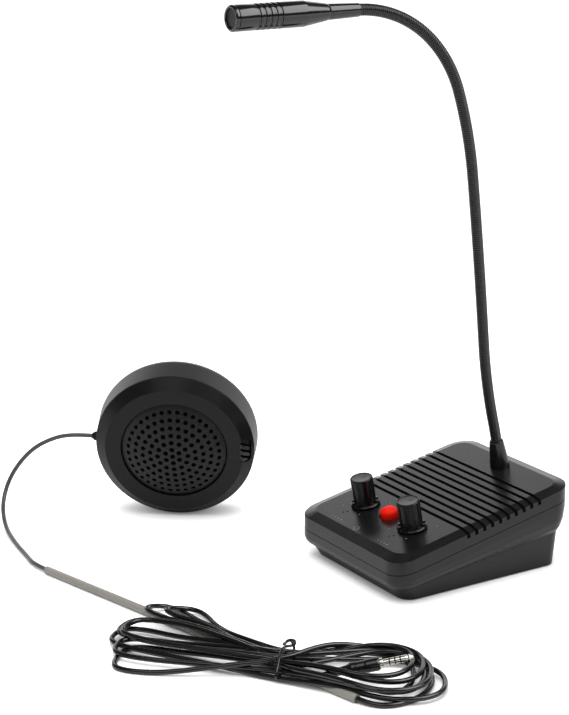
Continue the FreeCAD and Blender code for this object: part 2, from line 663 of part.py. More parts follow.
def speaker_screw_places():
    angles = [math.radians(a) for a in (90, 210, 330)]
    return [(SPEAKER_SCREW_R * math.cos(a), SPEAKER_SCREW_R * math.sin(a)) for a in angles]


def make_speaker_front():
    seat = -GRILLE_SINK - GRILLE_THICKNESS
    rim = GRILLE_R + GRILLE_GAP
    bezel = turned([(rim - 1.6, seat - 1.5), (rim - 1.6, seat), (rim, seat), (rim, 0), (FACE_R, 0),
                    (RIM_R, -RIM_DEPTH), (RIM_R, -RIM_DEPTH - 0.6), (RIM_R - WALL, -RIM_DEPTH - 0.6),
                    (FACE_R - 0.8, -WALL), (rim + 1.2, -WALL), (rim + 1.2, seat - 1.5)])
    bezel = bezel.cut(pocket(0.0))
    for x, y in speaker_screw_places():
        bezel = bezel.fuse(ring(3.2, 1.3, POST_END, -WALL + 0.3, x, y))
    add("speaker_bezel", placed(bezel, speaker_place()))
    radius = (GRILLE_R ** 2 + GRILLE_RISE ** 2) / (2 * GRILLE_RISE)
    middle = Vector(0, 0, GRILLE_RISE - GRILLE_SINK - radius)
    dome = Part.makeSphere(radius, middle).cut(Part.makeSphere(radius - GRILLE_THICKNESS, middle))
    grille = dome.common(cylinder(GRILLE_R, seat, GRILLE_RISE))
    grille = grille.fuse(ring(GRILLE_R, GRILLE_R - 1.4, seat, seat + 0.6))
    holes = []
    for r, count in HOLE_RINGS:
        for i in range(count):
            turn = math.radians(HOLE_START + 360 * i / count)
            x, y = r * math.cos(turn), r * math.sin(turn)
            holes.append(polygon_prism([HOLE_R] * HOLE_SIDES, seat - 1, GRILLE_RISE, x, y))
    add("speaker_grille", placed(grille.cut(Part.makeCompound(holes)), speaker_place()))


def make_mic_port():
    """The insert with three slanted slots that the window microphone listens through."""
    skin = turned([(FACE_R - 9, -0.6), (FACE_R, -0.6), (RIM_R - 0.8, -RIM_DEPTH - 0.6),
                   (RIM_R - 2.4, -RIM_DEPTH - 0.6), (FACE_R - 1.5, -2.2), (FACE_R - 9, -2.2)])
    port = skin.common(pocket(0.0))
    for shift in (-PORT_SLOT_PITCH, 0.0, PORT_SLOT_PITCH):
        slot = Part.makeBox(PORT_SLOT_LENGTH, PORT_SLOT_WIDTH, 20,
                            Vector(-PORT_SLOT_LENGTH / 2, -PORT_SLOT_WIDTH / 2, -12))
        slot.rotate(Vector(0, 0, 0), Z, PORT_SLANT)
        slot.translate(Vector(PORT_R, shift, 0))
        port = port.cut(slot)
    add("speaker_mic_port", placed(port, speaker_place()))
    capsule = cylinder(3.0, -10.5, -7.5, PORT_R - 1.0, 0)
    add("speaker_mic_capsule", placed(capsule, speaker_place()))


def tray(radius, front_r, front, back, shoulder):
    """A solid round tray whose wall widens a little from its front to its rounded shoulder."""
    shape = turned([(0, front), (front_r, front), (radius, back + shoulder), (radius, back), (0, back)])
    rim = [edge for edge in shape.Edges if edge.BoundBox.ZMax < back + 0.01]
    return shape.makeFillet(shoulder, [edge for edge in rim if edge.BoundBox.XLength > radius])


def make_speaker_shell():
    front, back = -RIM_DEPTH - 0.9, -SHELL_BACK
    shell = tray(SHELL_R, RIM_R, front, back, SHELL_SHOULDER)
    shell = shell.cut(tray(SHELL_R - WALL, RIM_R - WALL, front + 1, back + WALL, SHELL_SHOULDER - WALL))
    screws = []
    for x, y in speaker_screw_places():
        shell = shell.fuse(cylinder(3.6, back + 0.5, POST_END, x, y))
        shell = shell.cut(cylinder(1.6, back - 1, front, x, y))
        shell = shell.cut(cylinder(2.7, back - 1, back + 2.5, x, y))
        shank = cylinder(1.3, back + 2.0, POST_END + 9.0, x, y)
        screws.append(cylinder(2.5, back + 0.6, back + 2.5, x, y).fuse(shank))
    shell = shell.cut(Part.makeCylinder(GLAND_R, 20, gland_point(40), gland_way()))
    add("speaker_shell", placed(shell, speaker_place()))
    add("speaker_screws", placed(Part.makeCompound(screws), speaker_place()))
    pad = cylinder(PAD_R, back - PAD_THICKNESS, back)
    add("speaker_pad", placed(pad, speaker_place()))


def gland_way():
    turn = math.radians(GLAND_ANGLE)
    return Vector(math.cos(turn), math.sin(turn), 0)


def gland_point(distance):
    """The point on the gland's axis that lies this far from the speaker's axis."""
    return gland_way() * distance + Vector(0, 0, -GLAND_DEPTH)


def make_speaker_inside():
    place = speaker_place()
    frame, cone, magnet = driver(31.4, 12.0, 14.0, 6.5)
    seat = -GRILLE_SINK - GRILLE_THICKNESS - 1.5
    below = place.multiply(Placement(Vector(0, 0, seat), Rotation()))
    add("speaker_frame", placed(frame, below))
    add("speaker_cone", placed(cone, below))
    add("speaker_magnet", placed(magnet, below))
    inner, outer = SHELL_R - WALL - 2.0, SHELL_R + 0.6
    gland = Part.makeCylinder(GLAND_R, outer - inner, gland_point(inner), gland_way())
    tip = Part.makeCone(GLAND_R, LEAD_D / 2 + 0.35, GLAND_TIP - outer, gland_point(outer), gland_way())
    add("speaker_gland", placed(gland.fuse(tip), place))


# ---- Cord --------------------------------------------------------------------------------------
def corner(before, here, after):
    """The tangent arc at a point of a route: where it starts, its middle, where it ends, its radius."""
    run_in, run_out = here - before, after - here
    turn = run_in.getAngle(run_out)
    reach = 0.45 * min(run_in.Length, run_out.Length)
    radius = reach / math.tan(turn / 2)
    into = here - run_in.normalize() * reach
    out = here + run_out.normalize() * reach
    inward = (into + out) * 0.5 - here
    through = here + inward.normalize() * (radius / math.cos(turn / 2) - radius)
    return into, through, out, radius


def rounded_path(route):
    """Straight runs joined by tangent arcs, as one wire, with the arcs' radii."""
    points = [Vector(*p) for p in route]
    edges, radii, last = [], [], points[0]
    for before, here, after in zip(points, points[1:], points[2:]):
        into, through, out, radius = corner(before, here, after)
        edges += [Part.makeLine(last, into), Part.Arc(into, through, out).toShape()]
        radii.append(radius)
        last = out
    edges.append(Part.makeLine(last, points[-1]))
    return Part.Wire(edges), radii


def rounded_outline(points):
    """A closed wire of straight sides with a tangent arc at each point."""
    arcs = [corner(points[i - 2], points[i - 1], points[i]) for i in range(len(points))]
    edges = []
    for last, arc in zip(arcs[-1:] + arcs, arcs):
        edges += [Part.makeLine(last[2], arc[0]), Part.Arc(arc[0], arc[1], arc[2]).toShape()]
    return Part.Wire(edges)


def tube(route, diameter, name):
    """A round tube along a rounded path, with its length, radii and volume printed."""
    path, radii = rounded_path(route)
    start = Vector(*route[0])
    ring_wire = Part.Wire(Part.makeCircle(diameter / 2, start, Vector(*route[1]) - start))
    shape = path.makePipeShell([ring_wire], True, False)
    expected = math.pi * diameter ** 2 / 4 * path.Length
    print("%s: length %.1f, radii %s, volume %.1f of %.1f" % (
        name, path.Length, [round(r, 1) for r in radii], shape.Volume, expected))
    return shape


def sleeve_axis():
    start, end = Vector(*SLEEVE_START, SLEEVE_R), Vector(*SLEEVE_END, SLEEVE_R)
    return start, (end - start).normalize(), (Vector(*SLEEVE_END) - Vector(*SLEEVE_START)).Length


def hank_place():
    return Placement(Vector(*HANK_MIDDLE, 0), Rotation(Z, HANK_TURN))


def hank_wire(scale, z):
    """The hank's outline, seen from above with its long axis along +X."""
    return rounded_outline([Vector(scale * u, -scale * w, z) for u, w in HANK_OUTLINE])


def tie_tube():
    route = [(TIE_PLACE + 0.12 * i, -w, z) for i, (w, z) in enumerate(TIE_ROUTE)]
    return placed(tube(route, 2 * TIE_R, "hank_tie"), hank_place())


def plug_place():
    turn = Rotation(Z, PLUG_TURN).multiply(Rotation(Vector(0, 1, 0), 90 - PLUG_RISE))
    return Placement(Vector(*PLUG_BASE), turn)


def make_cord():
    add("speaker_lead", tube(LEAD_ROUTE, LEAD_D, "speaker_lead"))
    start, along, length = sleeve_axis()
    sleeve = Part.makeCylinder(SLEEVE_R, length, start, along)
    sleeve = sleeve.cut(Part.makeCylinder(LEAD_D / 2, length, start, along))
    end = start + along * length
    sleeve = sleeve.cut(Part.makeCylinder(CORD_D / 2, SLEEVE_GRIP, end - along * SLEEVE_GRIP, along))
    add("cord_sleeve", sleeve)
    held_end = end - along * SLEEVE_GRIP
    add("cord_stub", Part.makeCylinder(CORD_D / 2, SLEEVE_GRIP + CORD_STUB, held_end, along))

    slab = loft([hank_wire(1.0, 0.0), hank_wire(1.0, HANK_SHOULDER), hank_wire(0.93, HANK_TOP)])
    foot = rounded_rectangle(60, -11, 11, 5, HANK_TOP - 1)
    hump = loft([foot, rounded_rectangle(24, -8, 8, 5, HANK_HUMP_TOP)])
    hank = placed(slab.fuse(hump), hank_place())
    channel = Part.makeCylinder(SLEEVE_R + 0.3, length + CORD_STUB, start, along)
    side = SLEEVE_R + 0.3
    floor_cut = Part.makeBox(length + CORD_STUB, 2 * side, SLEEVE_R + 1, Vector(0, -side, -1))
    floor_cut.Placement = Placement(Vector(*SLEEVE_START, 0), Rotation(Vector(1, 0, 0), along))
    tie = tie_tube()
    hank = hank.cut(channel).cut(floor_cut).cut(tie)
    plug = plug_place()
    dent = placed(turned([(0, -PLUG_BODY_LENGTH - 30), (PLUG_BODY_R + 0.1, -PLUG_BODY_LENGTH - 30),
                          (PLUG_BODY_R + 0.1, 30), (0, 30)]), plug)
    add("cord_hank", hank.cut(dent))
    add("hank_tie", tie)
    make_plug(plug)


def make_plug(place):
    """A moulded plug with its strain relief and a four-contact pin."""
    base = -PLUG_COLLAR_LENGTH
    tail = base - PLUG_BODY_LENGTH
    end = tail - PLUG_RELIEF_LENGTH
    body = turned([(0, base), (PLUG_BODY_R - 0.5, base), (PLUG_BODY_R, base - 1.0),
                   (PLUG_BODY_R, tail + 2.0),
                   (2.4, tail), (CORD_D / 2 + 0.4, end), (0, end)])
    add("plug_body", placed(body, place))
    neck, tip = PIN_LENGTH - 3.2, PIN_LENGTH
    pin = turned([(0, base), (PLUG_COLLAR_R, base), (PLUG_COLLAR_R, 0), (PIN_R, 0), (PIN_R, neck),
                  (PIN_R - 0.45, neck + 0.5), (PIN_R - 0.1, neck + 1.5), (0.5, tip), (0, tip)])
    add("plug_pin", placed(pin, place))


def main():
    os.makedirs("parts", exist_ok=True)
    make_top_cover()
    make_bottom_shell()
    make_controls()
    make_button()
    make_circuit_board()
    make_console_driver()
    make_sockets()
    make_fastenings()
    make_gooseneck()
    make_microphone()
    make_speaker_front()
    make_mic_port()
    make_speaker_shell()
    make_speaker_inside()
    make_cord()
    for name, shape in solids.items():
        shape.exportStep("parts/%s.step" % name)
        box = shape.BoundBox
        print("%-24s solids %d valid %s volume %.0f  box %s" % (
            name, len(shape.Solids), shape.isValid(), shape.Volume,
            [round(v, 1) for v in (box.XMin, box.XMax, box.YMin, box.YMax, box.ZMin, box.ZMax)]))


main()
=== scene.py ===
# %% [markdown]
# # A teller window intercom
# Two people talk through a glass screen with this set. The teller has the sloped console with its
# volume knobs, red button and gooseneck microphone, and the round speaker hangs on the other side.
# The construction was drawn in CAD. This lesson loads it as a fixed frame and gives every piece its
# finish: softened mouldings, a ribbed neck, fluted knobs, a pierced grille and cords that really lie.

# %% Load the frame
import json
import math

import bmesh
import bpy
from mathutils import Matrix, Vector

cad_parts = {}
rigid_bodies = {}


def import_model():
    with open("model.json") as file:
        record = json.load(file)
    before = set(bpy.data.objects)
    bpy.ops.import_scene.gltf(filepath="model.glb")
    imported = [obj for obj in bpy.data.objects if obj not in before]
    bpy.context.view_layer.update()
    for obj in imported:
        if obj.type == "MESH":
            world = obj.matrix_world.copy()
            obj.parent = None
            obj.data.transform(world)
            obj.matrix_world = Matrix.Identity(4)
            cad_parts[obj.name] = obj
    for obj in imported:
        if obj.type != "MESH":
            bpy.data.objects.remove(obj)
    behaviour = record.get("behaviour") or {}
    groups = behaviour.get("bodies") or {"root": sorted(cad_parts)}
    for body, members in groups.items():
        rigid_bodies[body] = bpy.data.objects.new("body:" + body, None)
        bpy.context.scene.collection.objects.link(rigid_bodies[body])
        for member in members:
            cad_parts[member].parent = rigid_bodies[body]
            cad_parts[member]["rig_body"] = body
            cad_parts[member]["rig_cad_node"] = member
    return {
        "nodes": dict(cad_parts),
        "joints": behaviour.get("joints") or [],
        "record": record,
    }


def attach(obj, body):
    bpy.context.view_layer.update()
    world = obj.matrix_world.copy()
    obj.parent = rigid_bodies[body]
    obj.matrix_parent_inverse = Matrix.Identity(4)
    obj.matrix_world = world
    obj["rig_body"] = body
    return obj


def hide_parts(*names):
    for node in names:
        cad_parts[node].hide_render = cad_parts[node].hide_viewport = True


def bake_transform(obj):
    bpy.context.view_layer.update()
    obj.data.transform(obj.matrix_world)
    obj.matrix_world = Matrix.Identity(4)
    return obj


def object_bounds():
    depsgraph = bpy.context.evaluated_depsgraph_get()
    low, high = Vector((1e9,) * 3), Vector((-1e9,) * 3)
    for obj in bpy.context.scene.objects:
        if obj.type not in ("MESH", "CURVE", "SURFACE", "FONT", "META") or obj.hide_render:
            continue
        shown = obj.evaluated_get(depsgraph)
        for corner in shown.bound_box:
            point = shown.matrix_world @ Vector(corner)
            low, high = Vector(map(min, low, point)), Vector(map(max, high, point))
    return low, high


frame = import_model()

MM = 0.001
UPRIGHT = Matrix.Identity(4)
cad_low, cad_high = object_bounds()
joints = {joint["name"]: joint for joint in frame["joints"]}
mounts = {mount["name"]: mount for mount in frame["record"]["mounts"]}
print("CAD box:", [round(v, 3) for v in (*cad_low, *cad_high)])

# %% [markdown]
# ## Places to build in
# A knob is easiest to draw upright at the origin, and the deck it sits on is sloped. So each group of
# pieces gets a local frame, read from the joints and mounts that the CAD model already has, and a
# finished piece is carried into place by changing its mesh. Its object stays at the origin.

# %% Local frames
def frame_at(origin, axis, across):
    """A matrix whose Z is the axis and whose X lies as near as it can to across."""
    z = Vector(axis).normalized()
    x = (Vector(across) - z * Vector(across).dot(z)).normalized()
    turned = Matrix((x, z.cross(x), z)).transposed().to_4x4()
    return Matrix.Translation(origin) @ turned


def knob_frame(joint_name):
    joint = joints[joint_name]
    return frame_at(Vector(joint["pos_m"]), joint["axis"], (1, 0, 0))


LEFT_KNOB = knob_frame("left_volume")
RIGHT_KNOB = knob_frame("right_volume")
DECK = LEFT_KNOB.copy()
DECK.translation = (LEFT_KNOB.translation + RIGHT_KNOB.translation) / 2
KNOB_APART = (RIGHT_KNOB.translation - LEFT_KNOB.translation).length
print("knobs %.1f mm apart, deck slopes %.1f degrees" % (
    KNOB_APART / MM, math.degrees(math.acos(DECK.col[2].z))))

# %% [markdown]
# ## Small helpers for modelling by hand
# An operator works on whatever is selected, and the loaded CAD nodes come in selected. These helpers
# start each step from an empty selection, then pick faces or edges by a rule, which is what a hand
# would do with a box or a lasso.

# %% Selection helpers
def unselect():
    bpy.ops.object.select_all(action="DESELECT")


def activate(piece):
    """Make this the one selected, active object."""
    unselect()
    piece.select_set(True)
    bpy.context.view_layer.objects.active = piece


def edit(piece, what="FACE"):
    """Open a piece in edit mode with nothing selected."""
    activate(piece)
    bpy.ops.object.mode_set(mode="EDIT")
    bpy.ops.mesh.select_mode(type=what)
    bpy.ops.mesh.select_all(action="DESELECT")


def done():
    bpy.ops.object.mode_set(mode="OBJECT")


def pick_all():
    bpy.ops.mesh.select_all(action="SELECT")


def weld(distance):
    """In edit mode, merge doubled points and turn all faces outwards."""
    pick_all()
    bpy.ops.mesh.remove_doubles(threshold=distance)
    bpy.ops.mesh.normals_make_consistent(inside=False)


def pick(piece, rule):
    """In edit mode, select the faces whose centre and normal pass the rule."""
    work = bmesh.from_edit_mesh(piece.data)
    for face in work.faces:
        face.select_set(rule(face.calc_center_median(), face.normal))
    work.select_flush_mode()
    bmesh.update_edit_mesh(piece.data)


def new_name(name):
    """Name the object that an operator has just added, and hand it back."""
    piece = bpy.context.view_layer.objects.active
    piece.name = name
    piece.data.name = name
    return piece


# %% Finishing helpers
def modifier(piece, kind, **settings):
    """Add a modifier, set it and apply it."""
    activate(piece)
    added = piece.modifiers.new(kind.title(), kind)
    for key, value in settings.items():
        setattr(added, key, value)
    bpy.ops.object.modifier_apply(modifier=added.name)


def smooth(piece, degrees=35):
    activate(piece)
    bpy.ops.object.shade_smooth_by_angle(angle=math.radians(degrees))


def settle(piece, place):
    """Put the piece's place into its mesh."""
    piece.data.transform(place @ piece.matrix_world)
    piece.matrix_world = Matrix.Identity(4)
    return piece


def joined(piece, *others):
    """Join the others into this piece."""
    activate(piece)
    for other in others:
        other.select_set(True)
    if others:
        bpy.ops.object.join()
    return piece


def triangles(piece):
    piece.data.calc_loop_triangles()
    return len(piece.data.loop_triangles)


# %% [markdown]
# ## Camera
# A long lens from the front right, a little above the table. The lens is given as a focal length in
# pixels for an upright picture, and the sensor is as long as the picture is high.

# %% Camera
CAMERA_PLACE = Vector((0.8493, -0.6371, 0.4191))
CAMERA_AHEAD = Vector((-0.8126, 0.5146, -0.2735))
PICTURE_HEIGHT = 715
FOCAL_PIXELS = 2000
SENSOR = 36.0

camera_data = bpy.data.cameras.new("camera")
camera_data.sensor_width = SENSOR
camera_data.lens = SENSOR * FOCAL_PIXELS / PICTURE_HEIGHT
camera_data.clip_start = 0.05
camera_data.clip_end = 20
camera = bpy.data.objects.new("camera", camera_data)
bpy.context.scene.collection.objects.link(camera)
camera.location = CAMERA_PLACE
camera.rotation_mode = "QUATERNION"
camera.rotation_quaternion = CAMERA_AHEAD.to_track_quat("-Z", "Y")
bpy.context.scene.camera = camera
print("lens %.1f mm" % camera_data.lens)

# %% [markdown]
# ## Node helpers
# A material is a small graph. These helpers add a node with its values, wire an output to an input,
# and do one sum on numbers or on other nodes' outputs, so that each recipe reads as a list of steps.

# %% Node helpers
def add_node(tree, kind, values=None, **settings):
    """Add a shader node, set its attributes and its unlinked inputs."""
    made = tree.nodes.new("ShaderNode" + kind)
    for key, value in settings.items():
        setattr(made, key, value)
    for key, value in (values or {}).items():
        made.inputs[key].default_value = value
    return made


def wire(tree, source, output, target, entry):
    tree.links.new(source.outputs[output], target.inputs[entry])


def calc(tree, operation, *terms, **settings):
    """One sum on numbers and (node, output) pairs. Its result is such a pair too."""
    made = add_node(tree, "Math", operation=operation, **settings)
    for entry, term in enumerate(terms):
        if isinstance(term, tuple):
            wire(tree, *term, made, entry)
        else:
            made.inputs[entry].default_value = term
    return made, "Value"


def new_group(name, inputs, outputs):
    """A shader node group: inputs as {name: value}, outputs as {name: kind of socket}."""
    group = bpy.data.node_groups.new(name, "ShaderNodeTree")
    for label, value in inputs.items():
        kind = "NodeSocketColor" if isinstance(value, tuple) else "NodeSocketFloat"
        group.interface.new_socket(label, in_out="INPUT", socket_type=kind).default_value = value
    for label, kind in outputs.items():
        group.interface.new_socket(label, in_out="OUTPUT", socket_type="NodeSocket" + kind)
    return group, group.nodes.new("NodeGroupInput"), group.nodes.new("NodeGroupOutput")


# %% [markdown]
# ## Shared effects
# Moulded plastic shows a fine spark-eroded grain, faint cloudiness where it was handled, and slightly
# polished edges. All three are used by many materials, so each is a node group with its own inputs.

# %% Group: moulded grain
PEBBLE_HEIGHT = 0.04 * MM


def make_grain_group():
    """A fine pebble texture as a normal, and its height as a mask."""
    group, entry, leave = new_group("moulded_grain", {"Grains per metre": 3000.0, "Depth": 0.3},
                                    {"Normal": "Vector", "Height": "Float"})
    place = add_node(group, "TexCoord")
    fine = add_node(group, "TexNoise", {"Detail": 2.0, "Roughness": 0.6})
    pebble = add_node(group, "TexVoronoi", {"Randomness": 1.0})
    bump = add_node(group, "Bump", {"Distance": PEBBLE_HEIGHT})
    for texture in (fine, pebble):
        wire(group, place, "Object", texture, "Vector")
        wire(group, entry, "Grains per metre", texture, "Scale")
    both = calc(group, "ADD", (fine, "Fac"), (pebble, "Distance"))
    wire(group, *both, bump, "Height")
    wire(group, entry, "Depth", bump, "Strength")
    wire(group, bump, "Normal", leave, "Normal")
    wire(group, *both, leave, "Height")
    return group


GRAIN = make_grain_group()
print("grain group:", len(GRAIN.nodes), "nodes")

# %% Group: handling
def make_handling_group():
    """Cloudy variation of tone and roughness, as on plastic that has been handled and wiped."""
    group, entry, leave = new_group(
        "handling",
        {"Color": (0.05, 0.05, 0.05, 1), "Amount": 0.15, "Roughness": 0.4, "Patches per metre": 45.0},
        {"Color": "Color", "Roughness": "Float"})
    place = add_node(group, "TexCoord")
    cloud = add_node(group, "TexNoise", {"Detail": 4.0, "Roughness": 0.55})
    tint = add_node(group, "VectorMath", operation="SCALE")
    wire(group, place, "Object", cloud, "Vector")
    wire(group, entry, "Patches per metre", cloud, "Scale")
    centred = calc(group, "SUBTRACT", (cloud, "Fac"), 0.5)
    drift = calc(group, "MULTIPLY", centred, (entry, "Amount"))
    wire(group, entry, "Color", tint, "Vector")
    wire(group, *calc(group, "ADD", drift, 1.0), tint, "Scale")
    wire(group, tint, "Vector", leave, "Color")
    half = calc(group, "MULTIPLY", drift, 0.5)
    wire(group, *calc(group, "ADD", half, (entry, "Roughness"), use_clamp=True), leave, "Roughness")
    return group


HANDLING = make_handling_group()
print("handling group:", len(HANDLING.nodes), "nodes")

# %% Group: worn edges
def make_edge_group():
    """A mask that is bright along convex edges, broken up a little."""
    group, entry, leave = new_group("worn_edges", {"Amount": 0.5}, {"Mask": "Float"})
    surface = add_node(group, "NewGeometry")
    ramp = add_node(group, "MapRange",
                    {"From Min": 0.52, "From Max": 0.62, "To Min": 0.0, "To Max": 1.0})
    place = add_node(group, "TexCoord")
    noise = add_node(group, "TexNoise", {"Scale": 400.0, "Detail": 3.0})
    wire(group, surface, "Pointiness", ramp, "Value")
    wire(group, place, "Object", noise, "Vector")
    broken = calc(group, "MULTIPLY", (ramp, "Result"), (noise, "Fac"))
    wire(group, *calc(group, "MULTIPLY", broken, (entry, "Amount")), leave, "Mask")
    return group


EDGES = make_edge_group()
print("edge group:", len(EDGES.nodes), "nodes")

# %% [markdown]
# ## Materials
# Most of the set is black plastic, and what tells the pieces apart is gloss: the case is satin, the
# knobs and the microphone are shinier, the rubber is dull. So one recipe makes every moulded finish
# from a colour, a roughness and a depth of grain, and the metals have a recipe of their own.

# %% Recipes
def start_material(name):
    made = bpy.data.materials.new(name)
    made.use_nodes = True
    return made, made.node_tree, made.node_tree.nodes["Principled BSDF"]


def grained(name, color, roughness, cloud, patches, grain, grains):
    """A material whose gloss drifts and whose face is grained, with its drifting colour still unused."""
    made, tree, shader = start_material(name)
    handled = add_node(tree, "Group", {"Color": (*color, 1), "Amount": cloud, "Roughness": roughness,
                                       "Patches per metre": patches}, node_tree=HANDLING)
    pebbled = add_node(tree, "Group", {"Grains per metre": grains, "Depth": grain}, node_tree=GRAIN)
    wire(tree, handled, "Roughness", shader, "Roughness")
    wire(tree, pebbled, "Normal", shader, "Normal")
    return made, tree, shader, handled


def moulded(name, color, roughness, grain=0.25, grains=3000.0, cloud=0.15, edge=0.25, specular=0.5):
    """Moulded plastic or rubber, with edges that are polished a little lighter."""
    made, tree, shader, handled = grained(name, color, roughness, cloud, 45.0, grain, grains)
    shader.inputs["Specular IOR Level"].default_value = specular
    worn = add_node(tree, "Group", {"Amount": edge}, node_tree=EDGES)
    lighter = (*(min(1.0, 1.6 * c + 0.012) for c in color), 1)
    blend = add_node(tree, "Mix", {"B": lighter}, data_type="RGBA")
    wire(tree, handled, "Color", blend, "A")
    wire(tree, worn, "Mask", blend, "Factor")
    wire(tree, blend, "Result", shader, "Base Color")
    return made


def metal(name, color, roughness):
    """Plain or plated metal with fine scratches in its gloss."""
    made, tree, shader, handled = grained(name, color, roughness, 0.2, 300.0, 0.08, 900.0)
    shader.inputs["Metallic"].default_value = 1.0
    wire(tree, handled, "Color", shader, "Base Color")
    return made


# %% Finishes
MOULDED = {
    "case_black": ((0.006, 0.0062, 0.0068), 0.26, dict(grain=0.16, specular=0.42)),
    "knob_black": ((0.003, 0.003, 0.0034), 0.24, dict(grain=0.05, specular=0.28)),
    "knob_cap_grey": ((0.042, 0.042, 0.045), 0.34, dict(grain=0.06, edge=0.9)),
    "button_red": ((0.85, 0.012, 0.004), 0.4, dict(grain=0.06, cloud=0.1, edge=0.0, specular=0.06)),
    "component_black": ((0.012, 0.012, 0.012), 0.5, {}),
    "board_green": ((0.02, 0.13, 0.045), 0.35, dict(grain=0.1, cloud=0.3)),
    "cone_paper": ((0.004, 0.004, 0.004), 0.9, dict(grain=0.6, grains=1500.0, cloud=0.4, specular=0.1)),
    "magnet": ((0.05, 0.05, 0.052), 0.6, dict(grain=0.4)),
    "neck_black": ((0.004, 0.004, 0.0045), 0.2, dict(grain=0.03, edge=0.5, specular=0.6)),
    "mic_black": ((0.003, 0.003, 0.0033), 0.14, dict(grain=0.03, specular=0.8)),
    "grille_black": ((0.0055, 0.0053, 0.0055), 0.42, dict(grain=0.3, specular=0.3)),
    "rubber_black": ((0.008, 0.008, 0.008), 0.7, dict(grain=0.5, grains=1800.0, specular=0.3)),
    "lead_grey": ((0.07, 0.07, 0.073), 0.3, dict(grain=0.08, edge=0.0)),
    "cord_black": ((0.003, 0.003, 0.0033), 0.2, dict(grain=0.05, edge=0.0, specular=0.7)),
    "sleeve_cream": ((0.29, 0.28, 0.25), 0.18, dict(grain=0.05, edge=0.0)),
}   # colour, roughness, and what differs from the recipe
METALS = {
    "steel": ((0.6, 0.6, 0.61), 0.3), "pot_can": ((0.7, 0.7, 0.7), 0.4), "mesh": ((0.12, 0.12, 0.12), 0.5),
    "capsule": ((0.65, 0.65, 0.65), 0.35), "plug_metal": ((0.87, 0.84, 0.76), 0.16),
}
finish = {name: moulded(name, color, rough, **more) for name, (color, rough, more) in MOULDED.items()}
finish.update({name: metal(name, color, rough) for name, (color, rough) in METALS.items()})
speaker_face = moulded("speaker_face", (0.0055, 0.0053, 0.0056), 0.34, grain=0.15, specular=0.24)
# The bowl's copy of the black plastic is rougher, which is a real satin, and lighter in colour, which is a
# painted sheen.
speaker_satin_painted_sheen = moulded("speaker_satin_painted_sheen", (0.013, 0.0135, 0.0145), 0.4, grain=0.25, specular=0.8)
grey_print = moulded("grey_print", (0.14, 0.14, 0.145), 0.5, grain=0.1, edge=0.0)
print("finishes:", len(bpy.data.materials))

# %% [markdown]
# Every CAD node gets the finish that the record names for it. Pieces that are modelled again further
# down take theirs from the node that they stand for.

# %% Paint the CAD nodes
slot_of = {part["node"]: part["material_slot"] for part in frame["record"]["subparts"]}


def paint(piece, slot):
    """Give a piece one finish and name the record's slot for it."""
    piece.data.materials.clear()
    piece.data.materials.append(finish[slot])
    return piece


for node_name, node in frame["nodes"].items():
    paint(node, slot_of[node_name])
print("painted", len(slot_of), "nodes")

# %% [markdown]
# ## Softened mouldings
# No moulded edge is sharp, and the thin highlight along an edge is what makes plastic look real. The
# CAD shells have sharp edges. A copy of each is cleaned, its flat triangles are joined into whole
# faces, and every edge that turns by more than a set angle gets a small round bevel.

# %% Soften helper
WELD = 2e-6
FLAT_WITHIN = 0.6                   # degrees, between the flat triangles of one face
FLAT_TURN = 30                      # degrees, from which an edge is shaded sharp


def flat_faced(piece):
    """Shade the bevels round and the large faces flat."""
    edit(piece)
    bpy.ops.mesh.customdata_custom_splitnormals_clear()
    done()
    smooth(piece, FLAT_TURN)
    modifier(piece, "WEIGHTED_NORMAL", mode="FACE_AREA", weight=50, keep_sharp=True)


def softened(node_name, name, radius_mm, turn=28):
    """A copy of a CAD node that stands for it, with a bevel where its faces turn by this many degrees."""
    source = frame["nodes"][node_name]
    activate(source)
    bpy.ops.object.duplicate()
    piece = new_name(name)
    piece.parent = None
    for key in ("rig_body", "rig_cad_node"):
        del piece[key]
    edit(piece)
    pick_all()
    bpy.ops.mesh.customdata_custom_splitnormals_clear()
    bpy.ops.mesh.remove_doubles(threshold=WELD)
    bpy.ops.mesh.dissolve_limited(angle_limit=math.radians(FLAT_WITHIN))
    done()
    modifier(piece, "BEVEL", width=radius_mm * MM, segments=2, limit_method="ANGLE",
             angle_limit=math.radians(turn), miter_outer="MITER_ARC", use_clamp_overlap=True,
             harden_normals=False)
    flat_faced(piece)
    paint(piece, slot_of[node_name])
    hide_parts(node_name)
    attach(piece, "root")
    print("%s: %d triangles" % (name, triangles(piece)))
    return piece


# %% Case, boot and speaker mouldings
case_top = softened("top_cover", "case_top", 0.5, turn=11)
softened("bottom_shell", "case_base", 0.5, turn=11)
softened("neck_ferrule", "neck_boot", 0.4)
speaker_rim = softened("speaker_bezel", "speaker_rim", 0.4)
speaker_bowl = softened("speaker_shell", "speaker_bowl", 0.6)
softened("speaker_mic_port", "speaker_port", 0.25)
speaker_rim.data.materials[0] = speaker_face
# The bowl's lighter colour is a painted sheen on the same black plastic as the case.
speaker_bowl.data.materials[0] = speaker_satin_painted_sheen

# %% [markdown]
# ## Turned pieces
# Knobs, the microphone and the plug are all round. On a lathe they would be cut from
# a bar, and here a half outline is drawn point by point with extrude, its corners are rounded while it
# is still a wire, and spin carries it round the axis.

# %% Turning helper
def outlined(name, outline):
    """Extrude one vertex along an outline of (radius, height) in millimetres, and stay in edit mode."""
    points = [Vector((r, 0, h)) * MM for r, h in outline]
    unselect()
    bpy.ops.mesh.primitive_plane_add(size=MM)
    piece = new_name(name)
    edit(piece, "VERT")
    pick_all()
    bpy.ops.mesh.merge(type="CENTER")
    bpy.ops.transform.translate(value=points[0])
    for before, after in zip(points, points[1:]):
        bpy.ops.mesh.extrude_region_move(TRANSFORM_OT_translate={"value": after - before})
    return piece


